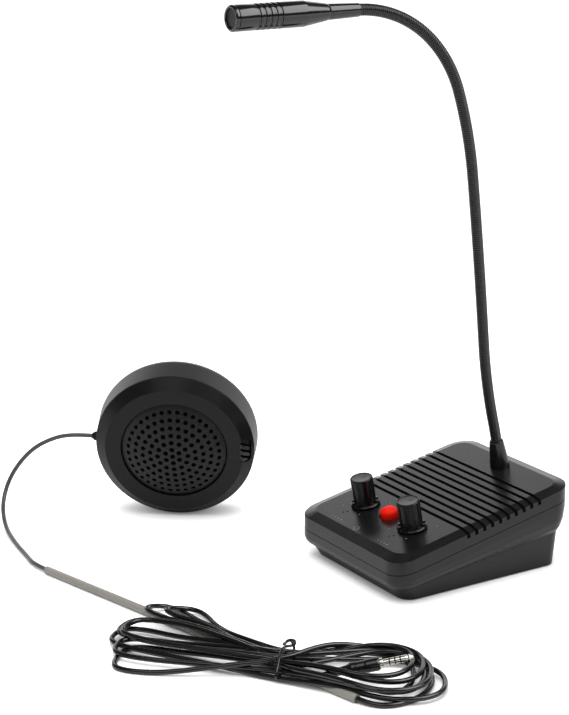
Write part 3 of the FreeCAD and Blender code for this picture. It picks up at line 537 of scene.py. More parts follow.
def turned(name, outline, place, corner=0.0, steps=64):
    """Spin an outline round the Z axis of place, its corners rounded by this many millimetres."""
    piece = outlined(name, outline)
    if corner:
        work = bmesh.from_edit_mesh(piece.data)
        for vertex in work.verts:
            vertex.select_set(len(vertex.link_edges) == 2)
        bmesh.update_edit_mesh(piece.data)
        bpy.ops.mesh.bevel(offset=corner * MM, segments=3, affect="VERTICES")
    pick_all()
    bpy.ops.mesh.spin(steps=steps, angle=math.tau, center=(0, 0, 0), axis=(0, 0, 1))
    weld(1e-6)
    done()
    settle(piece, place)
    smooth(piece)
    return piece


def finished(piece, slot, body, *nodes):
    """Paint a piece, let it ride on its body and stand for its CAD nodes."""
    paint(piece, slot)
    if nodes:
        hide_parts(*nodes)
    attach(piece, body)
    print("%s: %d triangles" % (piece.name, triangles(piece)))
    return piece


# %% [markdown]
# ## Gooseneck
# The neck is a steel spiral that shows as close ribs. One turn of the spiral is drawn as a small wave,
# the Screw modifier winds it up to the neck's full length, and a Curve modifier bends the straight hose
# along the neck. The neck bends at six joints, and the hose is cut half way between them, into one
# piece for each joint.

# %% The neck's line
NECK_START_ANGLE = 11.3             # degrees from upright
NECK_RUNS = [(12.0, 14.4), (48.0, 5.6), (48.0, 6.4), (48.0, 7.3), (48.0, 18.8), (43.0, 54.4), (43.0, 90.0)]
NECK_JOINTS = ["neck_bend_1", "neck_side_1", "neck_bend_2", "neck_side_2", "neck_bend_3", "neck_bend_4"]


def lean(degrees):
    """The direction that leans this far forward from upright."""
    return Vector((0, -math.sin(math.radians(degrees)), math.cos(math.radians(degrees))))


def arc_step(length, before, after):
    """The step across an arc of this length that turns from one lean to the other."""
    turn = math.radians(after - before)
    return lean((before + after) / 2) * length * MM * math.sin(turn / 2) / (turn / 2)


first_pivot = Vector(joints["neck_bend_1"]["pos_m"])
neck_points = [first_pivot - arc_step(NECK_RUNS[0][0], NECK_START_ANGLE, NECK_RUNS[0][1])]
neck_leans = [NECK_START_ANGLE]
for length, end in NECK_RUNS:
    neck_points.append(neck_points[-1] + arc_step(length, neck_leans[-1], end))
    neck_leans.append(end)
neck_marks = [sum(length for length, end in NECK_RUNS[:i]) for i in range(len(NECK_RUNS) + 1)]
misses = [(neck_points[i + 1] - Vector(joints[name]["pos_m"])).length for i, name in enumerate(NECK_JOINTS)]
print("neck %.1f mm long, its pivots within %.3f mm of the joints" % (neck_marks[-1], max(misses) / MM))


# %% Neck curve
def along_neck(mark):
    """The point this many millimetres up the neck."""
    run = max(i for i in range(len(NECK_RUNS)) if neck_marks[i] <= mark)
    share = (mark - neck_marks[run]) / NECK_RUNS[run][0]
    if share <= 0:
        return neck_points[run].copy()
    middle = neck_leans[run] + share * (neck_leans[run + 1] - neck_leans[run])
    return neck_points[run] + arc_step(share * NECK_RUNS[run][0], neck_leans[run], middle)


def neck_curve():
    """A Bezier curve whose handles make each run an arc."""
    data = bpy.data.curves.new("neck_line", "CURVE")
    data.dimensions = "3D"
    data.resolution_u = 64
    data.twist_mode = "MINIMUM"
    spline = data.splines.new("BEZIER")
    spline.bezier_points.add(len(neck_points) - 1)
    for i, knot in enumerate(spline.bezier_points):
        ahead = lean(neck_leans[i])
        before = NECK_RUNS[max(i - 1, 0)][0] * MM / 3
        after = NECK_RUNS[min(i, len(NECK_RUNS) - 1)][0] * MM / 3
        knot.handle_left_type = knot.handle_right_type = "FREE"
        knot.co = neck_points[i]
        knot.handle_left = neck_points[i] - ahead * before
        knot.handle_right = neck_points[i] + ahead * after
    line = bpy.data.objects.new("neck_line", data)
    bpy.context.scene.collection.objects.link(line)
    return line


# %% The straight hose
RIB_PITCH = 1.25
# One rib: (radius, share of the pitch)
RIB_WAVE = [(2.74, 0.0), (2.98, 0.10), (3.15, 0.30), (3.15, 0.58), (2.98, 0.78), (2.74, 0.88), (2.74, 1.0)]
HOSE_STEPS = 28                     # round the hose, for each turn of the spiral


def straight_hose():
    """The ribbed hose, standing on the origin and a little longer than the neck."""
    hose = outlined("straight_hose", [(r, (share - 1) * RIB_PITCH) for r, share in RIB_WAVE])
    done()
    modifier(hose, "SCREW", screw_offset=RIB_PITCH * MM, iterations=int(neck_marks[-1] / RIB_PITCH) + 2,
             steps=HOSE_STEPS, render_steps=HOSE_STEPS, use_merge_vertices=False)
    edit(hose)
    weld(2e-6)
    done()
    return hose


def hose_piece(name, hose, line, start, end):
    """The stretch of hose between two marks, closed at both ends and bent along the line."""
    activate(hose)
    bpy.ops.object.duplicate()
    piece = new_name(name)
    for mark, side in ((start, {"clear_inner": True}), (end, {"clear_outer": True})):
        edit(piece)
        pick_all()
        bpy.ops.mesh.bisect(plane_co=(0, 0, mark * MM), plane_no=(0, 0, 1), use_fill=True, **side)
        done()
    modifier(piece, "CURVE", object=line, deform_axis="POS_Z")
    smooth(piece, 60)
    return piece


# %% The bending hose
hose = straight_hose()
line = neck_curve()
cuts = [0.0] + [(neck_marks[i] + neck_marks[i + 1]) / 2 for i in range(1, 6)] + [neck_marks[-1]]
neck_nodes = [["neck_%d" % i] for i in range(5)] + [["neck_5", "neck_6"]]
for i in range(6):
    pivot = neck_marks[i + 1]
    reach = min(pivot - cuts[i], cuts[i + 1] - pivot)
    piece = hose_piece("neck_hose_%d" % (i + 1), hose, line, cuts[i], cuts[i + 1])
    paint(piece, "neck_black")
    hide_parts(*neck_nodes[i])
    along_neck(pivot - reach)
    along_neck(pivot + reach)
    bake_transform(piece)
    print("%s: marks %.0f to %.0f mm, %d triangles" % (piece.name, cuts[i], cuts[i + 1], triangles(piece)))
for helper in (hose, line):
    bpy.data.objects.remove(helper)

# %% [markdown]
# ## Microphone
# The neck ends in a short sleeve, and the microphone screws on to it: a turned housing with a long cone,
# five ring grooves near its front and a short rim ring. All of it is round, so it comes from the lathe
# helper. Its frame stands on the end of the neck and looks along it.

# %% Microphone housing
MIC = frame_at(neck_points[-1], lean(neck_leans[-1]), (1, 0, 0))
MIC_R, MIC_SLEEVE_R, MIC_SLEEVE_END_R = 6.65, 3.6, 4.15
CONE_FOOT, TUBE_FOOT, TUBE_END, MIC_TIP = 19.1, 33.5, 73.5, 75.9
RING_START, RING_PITCH, RING_COUNT, RING_WIDTH, RING_DEPTH = 15.2, 3.23, 5, 1.3, 0.6
MIC_BORE_R, MIC_MESH_R = 5.75, 5.0

mic_sleeve = turned("mic_sleeve_skin", [
    (0, 0), (MIC_SLEEVE_R - 0.3, 0), (MIC_SLEEVE_R, 0.3), (MIC_SLEEVE_R, 1.5),
    (MIC_SLEEVE_END_R, CONE_FOOT - 0.25), (MIC_SLEEVE_END_R - 0.35, CONE_FOOT), (0, CONE_FOOT)],
    MIC, corner=0.1)
finished(mic_sleeve, "mic_black", "mic_head", "mic_sleeve")

housing_line = [(0, CONE_FOOT), (MIC_SLEEVE_END_R, CONE_FOOT), (MIC_SLEEVE_END_R + 0.35, CONE_FOOT + 1.0),
                (MIC_R - 0.35, TUBE_FOOT - 1.7), (MIC_R, TUBE_FOOT + 0.4)]
for i in range(RING_COUNT):
    near = TUBE_FOOT + RING_START + i * RING_PITCH
    far = near + RING_WIDTH
    housing_line += [(MIC_R, near), (MIC_R - RING_DEPTH, near + 0.2), (MIC_R - RING_DEPTH, far - 0.2),
                     (MIC_R, far)]
housing_line += [(MIC_R, TUBE_END), (MIC_BORE_R, TUBE_END), (MIC_BORE_R, TUBE_END - 8), (0, TUBE_END - 8)]
mic_housing = turned("mic_tube", housing_line, MIC, corner=0.15, steps=72)
finished(mic_housing, "mic_black", "mic_head", "mic_housing")

rim_line = [(MIC_BORE_R, TUBE_END - 3), (MIC_BORE_R, TUBE_END), (MIC_R - 0.35, TUBE_END),
            (MIC_R - 0.35, TUBE_END + 0.35), (MIC_R, TUBE_END + 0.35), (MIC_R, MIC_TIP - 0.7),
            (MIC_R - 0.7, MIC_TIP), (MIC_MESH_R + 0.25, MIC_TIP),
            (MIC_MESH_R, MIC_TIP - 0.4), (MIC_MESH_R, MIC_TIP - 2.0), (MIC_MESH_R - 0.1, MIC_TIP - 2.0),
            (MIC_MESH_R - 0.1, TUBE_END - 3), (MIC_BORE_R, TUBE_END - 3)]
mic_rim = turned("mic_rim", rim_line, MIC, corner=0.12, steps=72)
finished(mic_rim, "mic_black", "mic_head", "mic_cap")

# %% [markdown]
# ## Pierced plates
# The microphone's mesh and the speaker's grille are sheet metal with punched holes. A flat curve takes a
# circle for the edge and one for each hole, and Blender fills what lies between them. It becomes a mesh,
# Solidify gives it its thickness, and a small bevel rounds the holes as a punch does. The grille is
# pressed into a dome before it gets its thickness: the Cast modifier moves every point on to a sphere.

# %% Pierced plate helpers
def hole_rings(rings, start):
    """Places on rings of (radius, count), all starting at one angle in degrees."""
    places = []
    for radius, count in rings:
        for i in range(count):
            turn = math.radians(start + 360 * i / count)
            places.append(Vector((radius * math.cos(turn), radius * math.sin(turn))))
    return places


def pierced(name, radius, holes, hole_r, sides=14, height=0.0):
    """A flat round sheet with round holes, at a height over the origin, in millimetres."""
    unselect()
    bpy.ops.curve.primitive_bezier_circle_add(radius=radius * MM, location=(0, 0, 0))
    sheet = new_name(name)
    bpy.ops.object.mode_set(mode="EDIT")
    for hole in holes:
        bpy.ops.curve.primitive_bezier_circle_add(radius=hole_r * MM, location=(hole.x * MM, hole.y * MM, 0))
    bpy.ops.object.mode_set(mode="OBJECT")
    sheet.data.dimensions = "2D"
    sheet.data.fill_mode = "BOTH"
    for i, spline in enumerate(sheet.data.splines):
        spline.resolution_u = 24 if i == 0 else sides // 4
    bpy.ops.object.convert(target="MESH")
    sheet = bpy.context.view_layer.objects.active
    edit(sheet)
    weld(1e-6)
    bpy.ops.transform.translate(value=(0, 0, height * MM))
    done()
    return sheet


def netted(sheet, pitch):
    """Cut the sheet's long strips along a square net, so that it can be pressed into a dome."""
    reach = max(vertex.co.xy.length for vertex in sheet.data.vertices) / MM
    lines = [pitch * (i + 0.5) for i in range(-int(reach / pitch) - 1, int(reach / pitch) + 1)]
    height = Vector((0, 0, sheet.data.vertices[0].co.z))
    for across in ((1, 0, 0), (0, 1, 0)):
        for offset in lines:
            edit(sheet)
            pick_all()
            bpy.ops.mesh.bisect(plane_co=Vector(across) * offset * MM + height, plane_no=across)
            done()


def thickened(sheet, thickness, edge):
    """Give a sheet its thickness, downwards, and round the edges of its holes."""
    modifier(sheet, "SOLIDIFY", thickness=thickness * MM, offset=-1.0)
    modifier(sheet, "BEVEL", width=edge * MM, segments=2, limit_method="ANGLE",
             angle_limit=math.radians(50))
    smooth(sheet, 40)


# %% Microphone mesh
MESH_RINGS = [(0.0, 1), (0.95, 6), (1.9, 12), (2.85, 18), (3.8, 24)]
mic_mesh = pierced("mic_mesh_disc", MIC_MESH_R - 0.03, hole_rings(MESH_RINGS, 0), 0.33, sides=12)
thickened(mic_mesh, 0.5, 0.05)
settle(mic_mesh, MIC @ Matrix.Translation((0, 0, (MIC_TIP - 1.2) * MM)))
finished(mic_mesh, "mesh", "mic_head", "mic_mesh")

# %% [markdown]
# ## Speaker grille
# Rings of holes, each ring with six more than the last, in a dome that is let into the bezel. Cast pulls
# each point straight away from the sphere's middle, so a hole that should end up at radius r is punched
# a little nearer to the middle first. A thin black dust cloth lies close behind the dome.

# %% Speaker grille
GRILLE_R, GRILLE_SINK, GRILLE_RISE, GRILLE_THICKNESS = 31.2, 1.1, 7.7, 1.4
HOLE_START, HOLE_R, RING_STEP, RINGS = 92.9, 1.4, 4.5, 7
PUNCH_SHARE = 0.96                  # holes are punched smaller, because the dome stretches them
NET_PITCH = 2.6
SPEAKER_FRONT = 29.0                # from the pad's outer face to the bezel's front
SPHERE_R = (GRILLE_R ** 2 + GRILLE_RISE ** 2) / (2 * GRILLE_RISE)
pad_mount = mounts["window_pad"]
speaker_ahead = -Vector(pad_mount["axis"]).normalized()
SPEAKER = frame_at(Vector(pad_mount["pos_m"]) + speaker_ahead * SPEAKER_FRONT * MM, speaker_ahead,
                   Vector((0, 0, 1)).cross(speaker_ahead))
EDGE_HEIGHT = math.sqrt(SPHERE_R ** 2 - GRILLE_R ** 2)


def before_pressing(radius):
    """Where a point has to lie in the flat sheet to end up at this radius of the dome."""
    return EDGE_HEIGHT * math.tan(math.asin(radius / SPHERE_R))


GRILLE_RINGS = [(before_pressing(RING_STEP * i), 6 * i or 1) for i in range(RINGS)]
grille = pierced("speaker_dome", GRILLE_R, hole_rings(GRILLE_RINGS, HOLE_START), HOLE_R * PUNCH_SHARE,
                 height=EDGE_HEIGHT)
netted(grille, NET_PITCH)
modifier(grille, "CAST", cast_type="SPHERE", factor=1.0, size=SPHERE_R * MM, use_radius_as_size=False)
thickened(grille, GRILLE_THICKNESS, 0.1)
SPHERE = SPEAKER @ Matrix.Translation((0, 0, (GRILLE_RISE - GRILLE_SINK - SPHERE_R) * MM))
settle(grille, SPHERE)
finished(grille, "grille_black", "root", "speaker_grille")
print("dome of radius %.1f mm, %d holes" % (SPHERE_R, sum(count for radius, count in GRILLE_RINGS)))

# %% Dust cloth
CLOTH_R, CLOTH_THICKNESS = SPHERE_R - 1.65, 0.4
CLOTH_ANGLES = [math.radians(angle) for angle in (0, 8, 16, 23, 27.3)]
cloth_line = [(CLOTH_R * math.sin(turn), CLOTH_R * math.cos(turn)) for turn in CLOTH_ANGLES]
cloth_line += [(r, h - CLOTH_THICKNESS) for r, h in reversed(cloth_line)]
finished(turned("dust_cloth", cloth_line, SPHERE), "cone_paper", "root")

# %% [markdown]
# ## Knobs
# A collet knob: ten broad ribs on a core, each with a foot on the round skirt, and a grey disc in the
# crown. The skirt, core and crown are turned. The ribs start as a cone with twenty sides, of which
# every other one is extruded, and a bevel rounds them. The feet are the ribs' lowest bit, extruded again.

# %% Knob core
KNOB_GAP, KNOB_TOP = 0.5, 17.0
SKIRT_R, FOOT_R, CORE_R, CROWN_R, DISC_R = 8.35, 7.9, 6.15, 6.45, 5.5
RIB_COUNT, RIB_DEPTH, RIB_TOP, FOOT_TOP = 10, 0.3, 16.0, 2.6


def knob_core(name, place):
    """Skirt, core and crown in one turned piece, with a seat for the disc."""
    return turned(name, [
        (5.8, KNOB_GAP), (SKIRT_R - 0.2, KNOB_GAP), (SKIRT_R, KNOB_GAP + 0.2), (SKIRT_R, KNOB_GAP + 0.7),
        (SKIRT_R - 0.8, KNOB_GAP + 1.5), (SKIRT_R - 1.3, KNOB_GAP + 1.5), (CORE_R, KNOB_GAP + 1.2),
        (CORE_R, KNOB_TOP - 1.2), (CROWN_R, KNOB_TOP - 1.0), (CROWN_R, KNOB_TOP - 0.4),
        (CROWN_R - 0.4, KNOB_TOP), (DISC_R + 0.2, KNOB_TOP), (DISC_R + 0.05, KNOB_TOP - 0.2),
        (DISC_R + 0.05, KNOB_TOP - 1.0), (0, KNOB_TOP - 1.0)], place, corner=0.12, steps=80)


# %% Knob ribs
def knob_ribs(name, place):
    """Ten rounded ribs with their feet."""
    unselect()
    bottom = KNOB_GAP + 0.6
    bpy.ops.mesh.primitive_cone_add(
        vertices=2 * RIB_COUNT, radius1=(CORE_R - 0.1) * MM, radius2=(CORE_R + 0.05) * MM,
        depth=(RIB_TOP - bottom) * MM, location=(0, 0, (RIB_TOP + bottom) / 2 * MM))
    ribs = new_name(name)
    settle(ribs, Matrix.Rotation(math.pi / (2 * RIB_COUNT), 4, "Z"))

    def on_rib(centre, normal):
        turn = math.degrees(math.atan2(centre.y, centre.x)) % (360 / RIB_COUNT)
        return abs(normal.z) < 0.5 and min(turn, 360 / RIB_COUNT - turn) < 360 / RIB_COUNT / 4

    edit(ribs)
    pick(ribs, on_rib)
    bpy.ops.mesh.extrude_region_shrink_fatten(TRANSFORM_OT_shrink_fatten={"value": RIB_DEPTH * MM})
    pick_all()
    bpy.ops.mesh.bisect(plane_co=(0, 0, FOOT_TOP * MM), plane_no=(0, 0, 1))
    pick(ribs, lambda centre, normal: on_rib(centre, normal) and centre.z < FOOT_TOP * MM
         and centre.xy.length > (CORE_R + 0.1) * MM)
    bpy.ops.mesh.extrude_region_shrink_fatten(
        TRANSFORM_OT_shrink_fatten={"value": (FOOT_R - CORE_R - RIB_DEPTH) * MM})
    done()
    modifier(ribs, "BEVEL", width=0.3 * MM, segments=3, limit_method="ANGLE", angle_limit=math.radians(35))
    settle(ribs, place)
    smooth(ribs, 40)
    return ribs


# %% Knob disc
POINTER_SIZE, POINTER_Y = (0.7, 3.6, 0.3), 2.5


def knob_disc(name, place):
    """The grey disc, with a thin pointer line raised on it."""
    disc = turned(name, [(0, KNOB_TOP - 1.0), (DISC_R, KNOB_TOP - 1.0), (DISC_R, KNOB_TOP - 0.45),
                         (DISC_R - 0.25, KNOB_TOP - 0.2), (DISC_R - 0.8, KNOB_TOP - 0.2),
                         (DISC_R - 1.0, KNOB_TOP - 0.35), (0, KNOB_TOP - 0.35)], UPRIGHT, corner=0.08)
    unselect()
    bpy.ops.mesh.primitive_cube_add(size=MM, location=(0, POINTER_Y * MM, (KNOB_TOP - 0.3) * MM),
                                    scale=POINTER_SIZE)
    pointer = new_name("pointer")
    modifier(pointer, "BEVEL", width=0.08 * MM, segments=2)
    settle(pointer, UPRIGHT)
    settle(joined(disc, pointer), place)
    smooth(disc)
    return disc


# %% Both knobs
for side, place in (("left", LEFT_KNOB), ("right", RIGHT_KNOB)):
    body = side + "_knob"
    finished(knob_core("knob_core_" + side, place), "knob_black", body, "knob_" + side)
    finished(knob_ribs("knob_ribs_" + side, place), "knob_black", body)
    finished(knob_disc("knob_disc_" + side, place), "knob_cap_grey", body, "knob_cap_" + side)

# %% [markdown]
# ## Talk button
# A soft red dome, square in plan with round corners. A cube gets its upright edges bevelled, and its top
# is inset and raised step by step along the dome's profile. Subdivision then rounds it all. Inside the
# case a flange keeps it from falling out, and a stem presses the switch.

# %% Talk button
BUTTON_Y = 0.8
BUTTON = DECK @ Matrix.Translation((0, BUTTON_Y * MM, 0))
BUTTON_SIZE, BUTTON_CORNER, BUTTON_FOOT, BUTTON_SHOULDER = 9.3, 2.9, -3.7, 2.1
STEM_R, STEM_FOOT, FLANGE_R, FLANGE_FOOT, FLANGE_TOP = 1.6, -7.4, 6.35, -3.9, -2.9
DOME_STEPS = [(0.25, 1.0), (0.7, 0.95), (1.05, 0.65), (1.15, 0.3)]      # (inset, rise)

unselect()
bpy.ops.mesh.primitive_cube_add(
    size=MM, location=(0, 0, (BUTTON_SHOULDER + BUTTON_FOOT) / 2 * MM),
    scale=(BUTTON_SIZE, BUTTON_SIZE, BUTTON_SHOULDER - BUTTON_FOOT))
talk_button = new_name("talk_button")
settle(talk_button, UPRIGHT)
edit(talk_button, "EDGE")
work = bmesh.from_edit_mesh(talk_button.data)
for edge in work.edges:
    a, b = edge.verts
    edge.select_set(abs(a.co.z - b.co.z) > MM)
bmesh.update_edit_mesh(talk_button.data)
bpy.ops.mesh.bevel(offset=BUTTON_CORNER * MM, segments=4)
bpy.ops.mesh.select_mode(type="FACE")
bpy.ops.mesh.select_all(action="DESELECT")
pick(talk_button, lambda centre, normal: normal.z > 0.9)
for inset, rise in DOME_STEPS:
    bpy.ops.mesh.inset(thickness=inset * MM, depth=rise * MM)
done()
modifier(talk_button, "SUBSURF", levels=2, render_levels=2)
stem = turned("stem", [(0, STEM_FOOT), (STEM_R, STEM_FOOT), (STEM_R, FLANGE_FOOT), (FLANGE_R, FLANGE_FOOT),
                       (FLANGE_R, FLANGE_TOP), (0, FLANGE_TOP)], UPRIGHT, steps=32)
settle(joined(talk_button, stem), BUTTON)
smooth(talk_button, 40)
finished(talk_button, "button_red", "push_button", "button_cap")

# %% [markdown]
# ## Marks on the deck
# Beside each knob is a pair of small round pits, the button stands in a shallow recess, and the deck
# carries a little plain print: dots at the ends of each knob's travel, a row of growing dots for louder,
# and a ring for the button. Pits and recess are cut into the cover with a Boolean modifier, and the
# print is a very thin raised film.

# %% Pits and print
PITS = [(-2.4, -14.0), (-1.0, -11.8)]
PIT_R, PIT_DEPTH, FILM = 0.6, 0.8, 0.03
RECESS_R, RECESS_DEPTH = 6.1, 0.9
PRINT_ROW = -20.3
END_DOTS = [(x, y, 0.5) for x, y in ((-9.3, -9.0), (9.0, 10.2), (7.4, -9.6))]
LOUDER_DOTS = [(-3.6 + 2.7 * i, PRINT_ROW, 0.3 + 0.13 * i) for i in range(4)]
BUTTON_RING, RING_BORE = (-2.6, PRINT_ROW, 1.9), 1.45


def sink(place, x, y, radius, depth, sides):
    """Cut a round hollow into the cover."""
    unselect()
    bpy.ops.mesh.primitive_cylinder_add(vertices=sides, radius=radius * MM, depth=2 * depth * MM)
    cutter = settle(new_name("cutter"), place @ Matrix.Translation((x * MM, y * MM, 0)))
    modifier(case_top, "BOOLEAN", object=cutter, operation="DIFFERENCE", solver="EXACT")
    bpy.data.objects.remove(cutter)


def film(name, dots, place, hollow=0.0):
    """Flat round dots of (x, y, radius), printed on the deck; hollow makes them rings."""
    parts = []
    for x, y, radius in dots:
        line = [(hollow, 0), (radius, 0), (radius, FILM), (hollow, FILM)]
        parts.append(turned("dot", line, place @ Matrix.Translation((x * MM, y * MM, 0)), steps=24))
    joined(parts[-1], *parts[:-1])
    piece = new_name(name)
    piece.data.materials.append(grey_print)
    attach(piece, "root")


sink(BUTTON, 0, 0, RECESS_R, RECESS_DEPTH, 56)
for side, place in (("left", LEFT_KNOB), ("right", RIGHT_KNOB)):
    for x, y in PITS:
        sink(place, x, y, PIT_R, PIT_DEPTH, 20)
    film("print_" + side, END_DOTS + LOUDER_DOTS, place)
film("print_button", [BUTTON_RING], DECK, hollow=RING_BORE)
flat_faced(case_top)
print("case_top after the pits: %d triangles" % triangles(case_top))

# %% [markdown]
# ## Cords
# The speaker's lead is a soft 2.5 mm cord. It leaves the gland, sinks to the table under its own weight
# and runs into a long plastic sleeve. Out of the sleeve's other end comes the black plug cord, wound
# into a flat hank that a twist tie holds at its waist. Each cord is one NURBS spline, which lies as
# evenly as a real one, with round bevel for its sheath.

# %% Cord helper
def cord_curve(name, points, diameter_mm):
    """A round cord along one NURBS spline through control points in metres."""
    data = bpy.data.curves.new(name, "CURVE")
    data.dimensions = "3D"
    data.resolution_u = 12
    data.bevel_depth = diameter_mm / 2 * MM
    data.bevel_resolution = 4
    data.use_fill_caps = True
    spline = data.splines.new("NURBS")
    spline.points.add(len(points) - 1)
    for control, point in zip(spline.points, points):
        control.co = (*point, 1)
    spline.order_u = 3
    spline.use_endpoint_u = True
    piece = bpy.data.objects.new(name, data)
    bpy.context.scene.collection.objects.link(piece)
    return piece


def cord_length(piece):
    """The length of a cord's own line, in metres."""
    bare = piece.data.copy()
    bare.bevel_depth = 0
    probe = bpy.data.objects.new("probe", bare)
    mesh = bpy.data.meshes.new_from_object(probe)
    places = [vertex.co for vertex in mesh.vertices]
    total = sum((b - a).length for a, b in zip(places, places[1:]))
    bpy.data.objects.remove(probe)
    bpy.data.curves.remove(bare)
    bpy.data.meshes.remove(mesh)
    return total


# %% Speaker lead
LEAD_ROUTE = [
    (-0.1660, -0.1292, 0.0497), (-0.1718, -0.1372, 0.0503), (-0.1793, -0.1469, 0.0484),
    (-0.1882, -0.1590, 0.0405), (-0.1935, -0.1705, 0.0250), (-0.1885, -0.1790, 0.0100),
    (-0.1695, -0.1860, 0.0026), (-0.1460, -0.1908, 0.00135), (-0.1225, -0.1940, 0.00135),
    (-0.1065, -0.1971, 0.0022), (-0.0890, -0.1930, 0.0022),
]
lead = cord_curve("lead", LEAD_ROUTE, 2.5)
paint(lead, "lead_grey")
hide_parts("speaker_lead")
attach(lead, "root")
cord_length(lead)
print("lead %.3f m" % cord_length(lead))

# %% [markdown]
# ### The hank
# The plug cord goes round and round between two ends, drawn together at the waist. A bight is one trip
# from the waist out to an end and back. Its shape is a teardrop: how far it reaches, where its tip
# lies, how wide it opens and how high it lies on the turns below. The bights differ, as a hand leaves
# them, and a loop works out the points of each. Only the first trip, out of the sleeve, is drawn point
# by point. Every strand that crosses the sleeve rides over it.

# %% Hank measures
CORD_D = 2.7
HANK_MIDDLE = Vector((0.082, -0.152, 0))
HANK_TURN = math.radians(37.4)
HANK = Matrix.Translation(HANK_MIDDLE) @ Matrix.Rotation(HANK_TURN, 4, "Z")
SLEEVE_START = Vector((-0.0958, -0.1946, 0.0022))
SLEEVE_END = Vector((0.1313, -0.1415, 0.0022))
SLEEVE_R = 2.2
ON_SLEEVE, OFF_SLEEVE = 3.5, 11.0   # how far from the sleeve's middle a cord is fully up and fully down
to_hank = HANK.inverted()
sleeve_from = to_hank @ SLEEVE_START / MM
sleeve_to = to_hank @ SLEEVE_END / MM
print("sleeve %.0f mm long" % (sleeve_to - sleeve_from).length)


def eased(share):
    """A share from 0 to 1, held within them and with a soft start and end."""
    share = min(1.0, max(0.0, share))
    return share * share * (3 - 2 * share)


def over_sleeve(x, y):
    """How high the middle of a cord on the table or over the sleeve lies, at this place of the hank."""
    start, end = Vector(sleeve_from.xy), Vector(sleeve_to.xy)
    run = end - start
    share = min(1.0, max(0.0, (Vector((x, y)) - start).dot(run) / run.length_squared))
    away = (Vector((x, y)) - start - run * share).length
    rise = eased((OFF_SLEEVE - away) / (OFF_SLEEVE - ON_SLEEVE))
    return CORD_D / 2 + rise * (2 * SLEEVE_R + 0.1)


# %% Bights
# Three forms: how wide a bight is at its first four points, as a share of its half width
LOBE, NARROW, LOOP = (0.44, 0.84, 0.72, 0.34), (0.4, 0.75, 0.88, 0.6), (0.05, 0.2, 0.78, 0.68)
# (tip x, tip y, half width, layer at the tip, form), in millimetres in the hank's frame and in cords
BIGHTS = [
    (-84.0, -16.0, 17.0, 0.0, NARROW), (66.0, 6.0, 28.0, 1.0, LOBE), (-88.5, -7.0, 12.5, 0.7, NARROW),
    (71.0, 9.0, 30.0, 1.5, LOBE), (-95.5, 6.5, 13.0, 0.6, NARROW), (82.0, 8.0, 26.0, 0.6, LOBE),
    (-94.0, 14.5, 13.5, 1.3, NARROW), (69.0, 12.0, 27.0, 2.3, LOBE), (-90.5, 45.0, 12.2, 0.1, LOOP),
    (74.0, 10.0, 29.0, 2.0, LOBE), (-77.0, 45.0, 12.6, 0.4, LOOP), (63.0, 14.0, 23.0, 2.6, LOBE),
    (-90.0, 10.5, 13.5, 2.2, NARROW),
]
POINTS_PER_BIGHT = 9
WAIST_ORDER = [13, 2, 10, 1, 9, 0, 8, 4, 11, 6, 12, 5, 7, 3]
# The first trip, from the sleeve round the near side of the lobe and back over its far side
FIRST_TRIP = [
    (53.5, -24.0, 1.5), (63.0, -21.5, 1.4), (71.5, -11.5, 1.4), (75.0, 3.0, 1.4), (71.5, 18.5, 1.4),
    (61.0, 30.5, 1.5), (47.5, 35.5, 2.5), (33.0, 31.0, 5.5), (17.0, 17.0, 10.5),
]
WAIST_X, WAIST_EDGE, ROW_STRANDS, STRAND_PITCH, ROW_HEIGHT, ROW_SHIFT = 2.0, -13.0, 6, 3.6, 2.6, 1.5
OPENED_BY = 0.72                    # share of a bight's reach by which its height no longer follows the waist
PLUG_RUN = 16                       # the straight run up to the plug
print("bights:", len(BIGHTS), "strands at the waist:", len(WAIST_ORDER))


# %% Way round the hank
def waist_place(strand):
    """Where a strand passes under the tie: rows of six, stacked into a bundle."""
    row, column = divmod(strand, ROW_STRANDS)
    y = WAIST_EDGE + STRAND_PITCH * column + STRAND_PITCH / 2 * (row % 2)
    z = over_sleeve(WAIST_X, y) + ROW_HEIGHT * row
    return Vector((WAIST_X, y + ROW_SHIFT * row, z))


def bight_points(start, end, tip_x, tip_y, half, layer, form):
    """Control points of one bight, from just after its start at the waist to just before its end."""
    side = 1 if start.y < end.y else -1
    way = Vector((tip_x - start.x, tip_y - start.y)).normalized() * math.copysign(1, tip_x)
    points = []
    for i in range(1, POINTS_PER_BIGHT):
        reach = math.sin(math.pi * i / POINTS_PER_BIGHT)
        outward = i < POINTS_PER_BIGHT / 2
        wide = form[i - 1] if outward else -form[POINTS_PER_BIGHT - 1 - i]
        waist = start.lerp(end, i / POINTS_PER_BIGHT)
        x = start.x + (tip_x - start.x) * reach + side * half * wide * way.y
        y = waist.y + (tip_y - waist.y) * reach - side * half * wide * way.x
        opened = eased(reach / OPENED_BY)
        z_lobe = over_sleeve(x, y) + layer * CORD_D
        points.append(Vector((x, y, waist.z + (z_lobe - waist.z) * opened)))
    return points


def hank_route(exit_point, plug_point, plug_ahead):
    """All control points of the plug cord, in the hank's frame, in millimetres."""
    route = [exit_point] + [Vector(point) for point in FIRST_TRIP]
    waists = [waist_place(order) for order in WAIST_ORDER]
    for i, bight in enumerate(BIGHTS):
        route.append(waists[i])
        route += bight_points(waists[i], waists[i + 1], *bight)
    route.append(waists[-1])
    lift = plug_point - plug_ahead * PLUG_RUN
    route += [waists[-1].lerp(lift, 0.55) + Vector((0, 0, 1)), lift, plug_point - plug_ahead * PLUG_RUN / 2]
    route.append(plug_point)
    return route


# %% [markdown]
# ### The plug
# A four-contact plug: a moulded body with a strain relief behind it, and a pin with three black rings
# between its contacts.

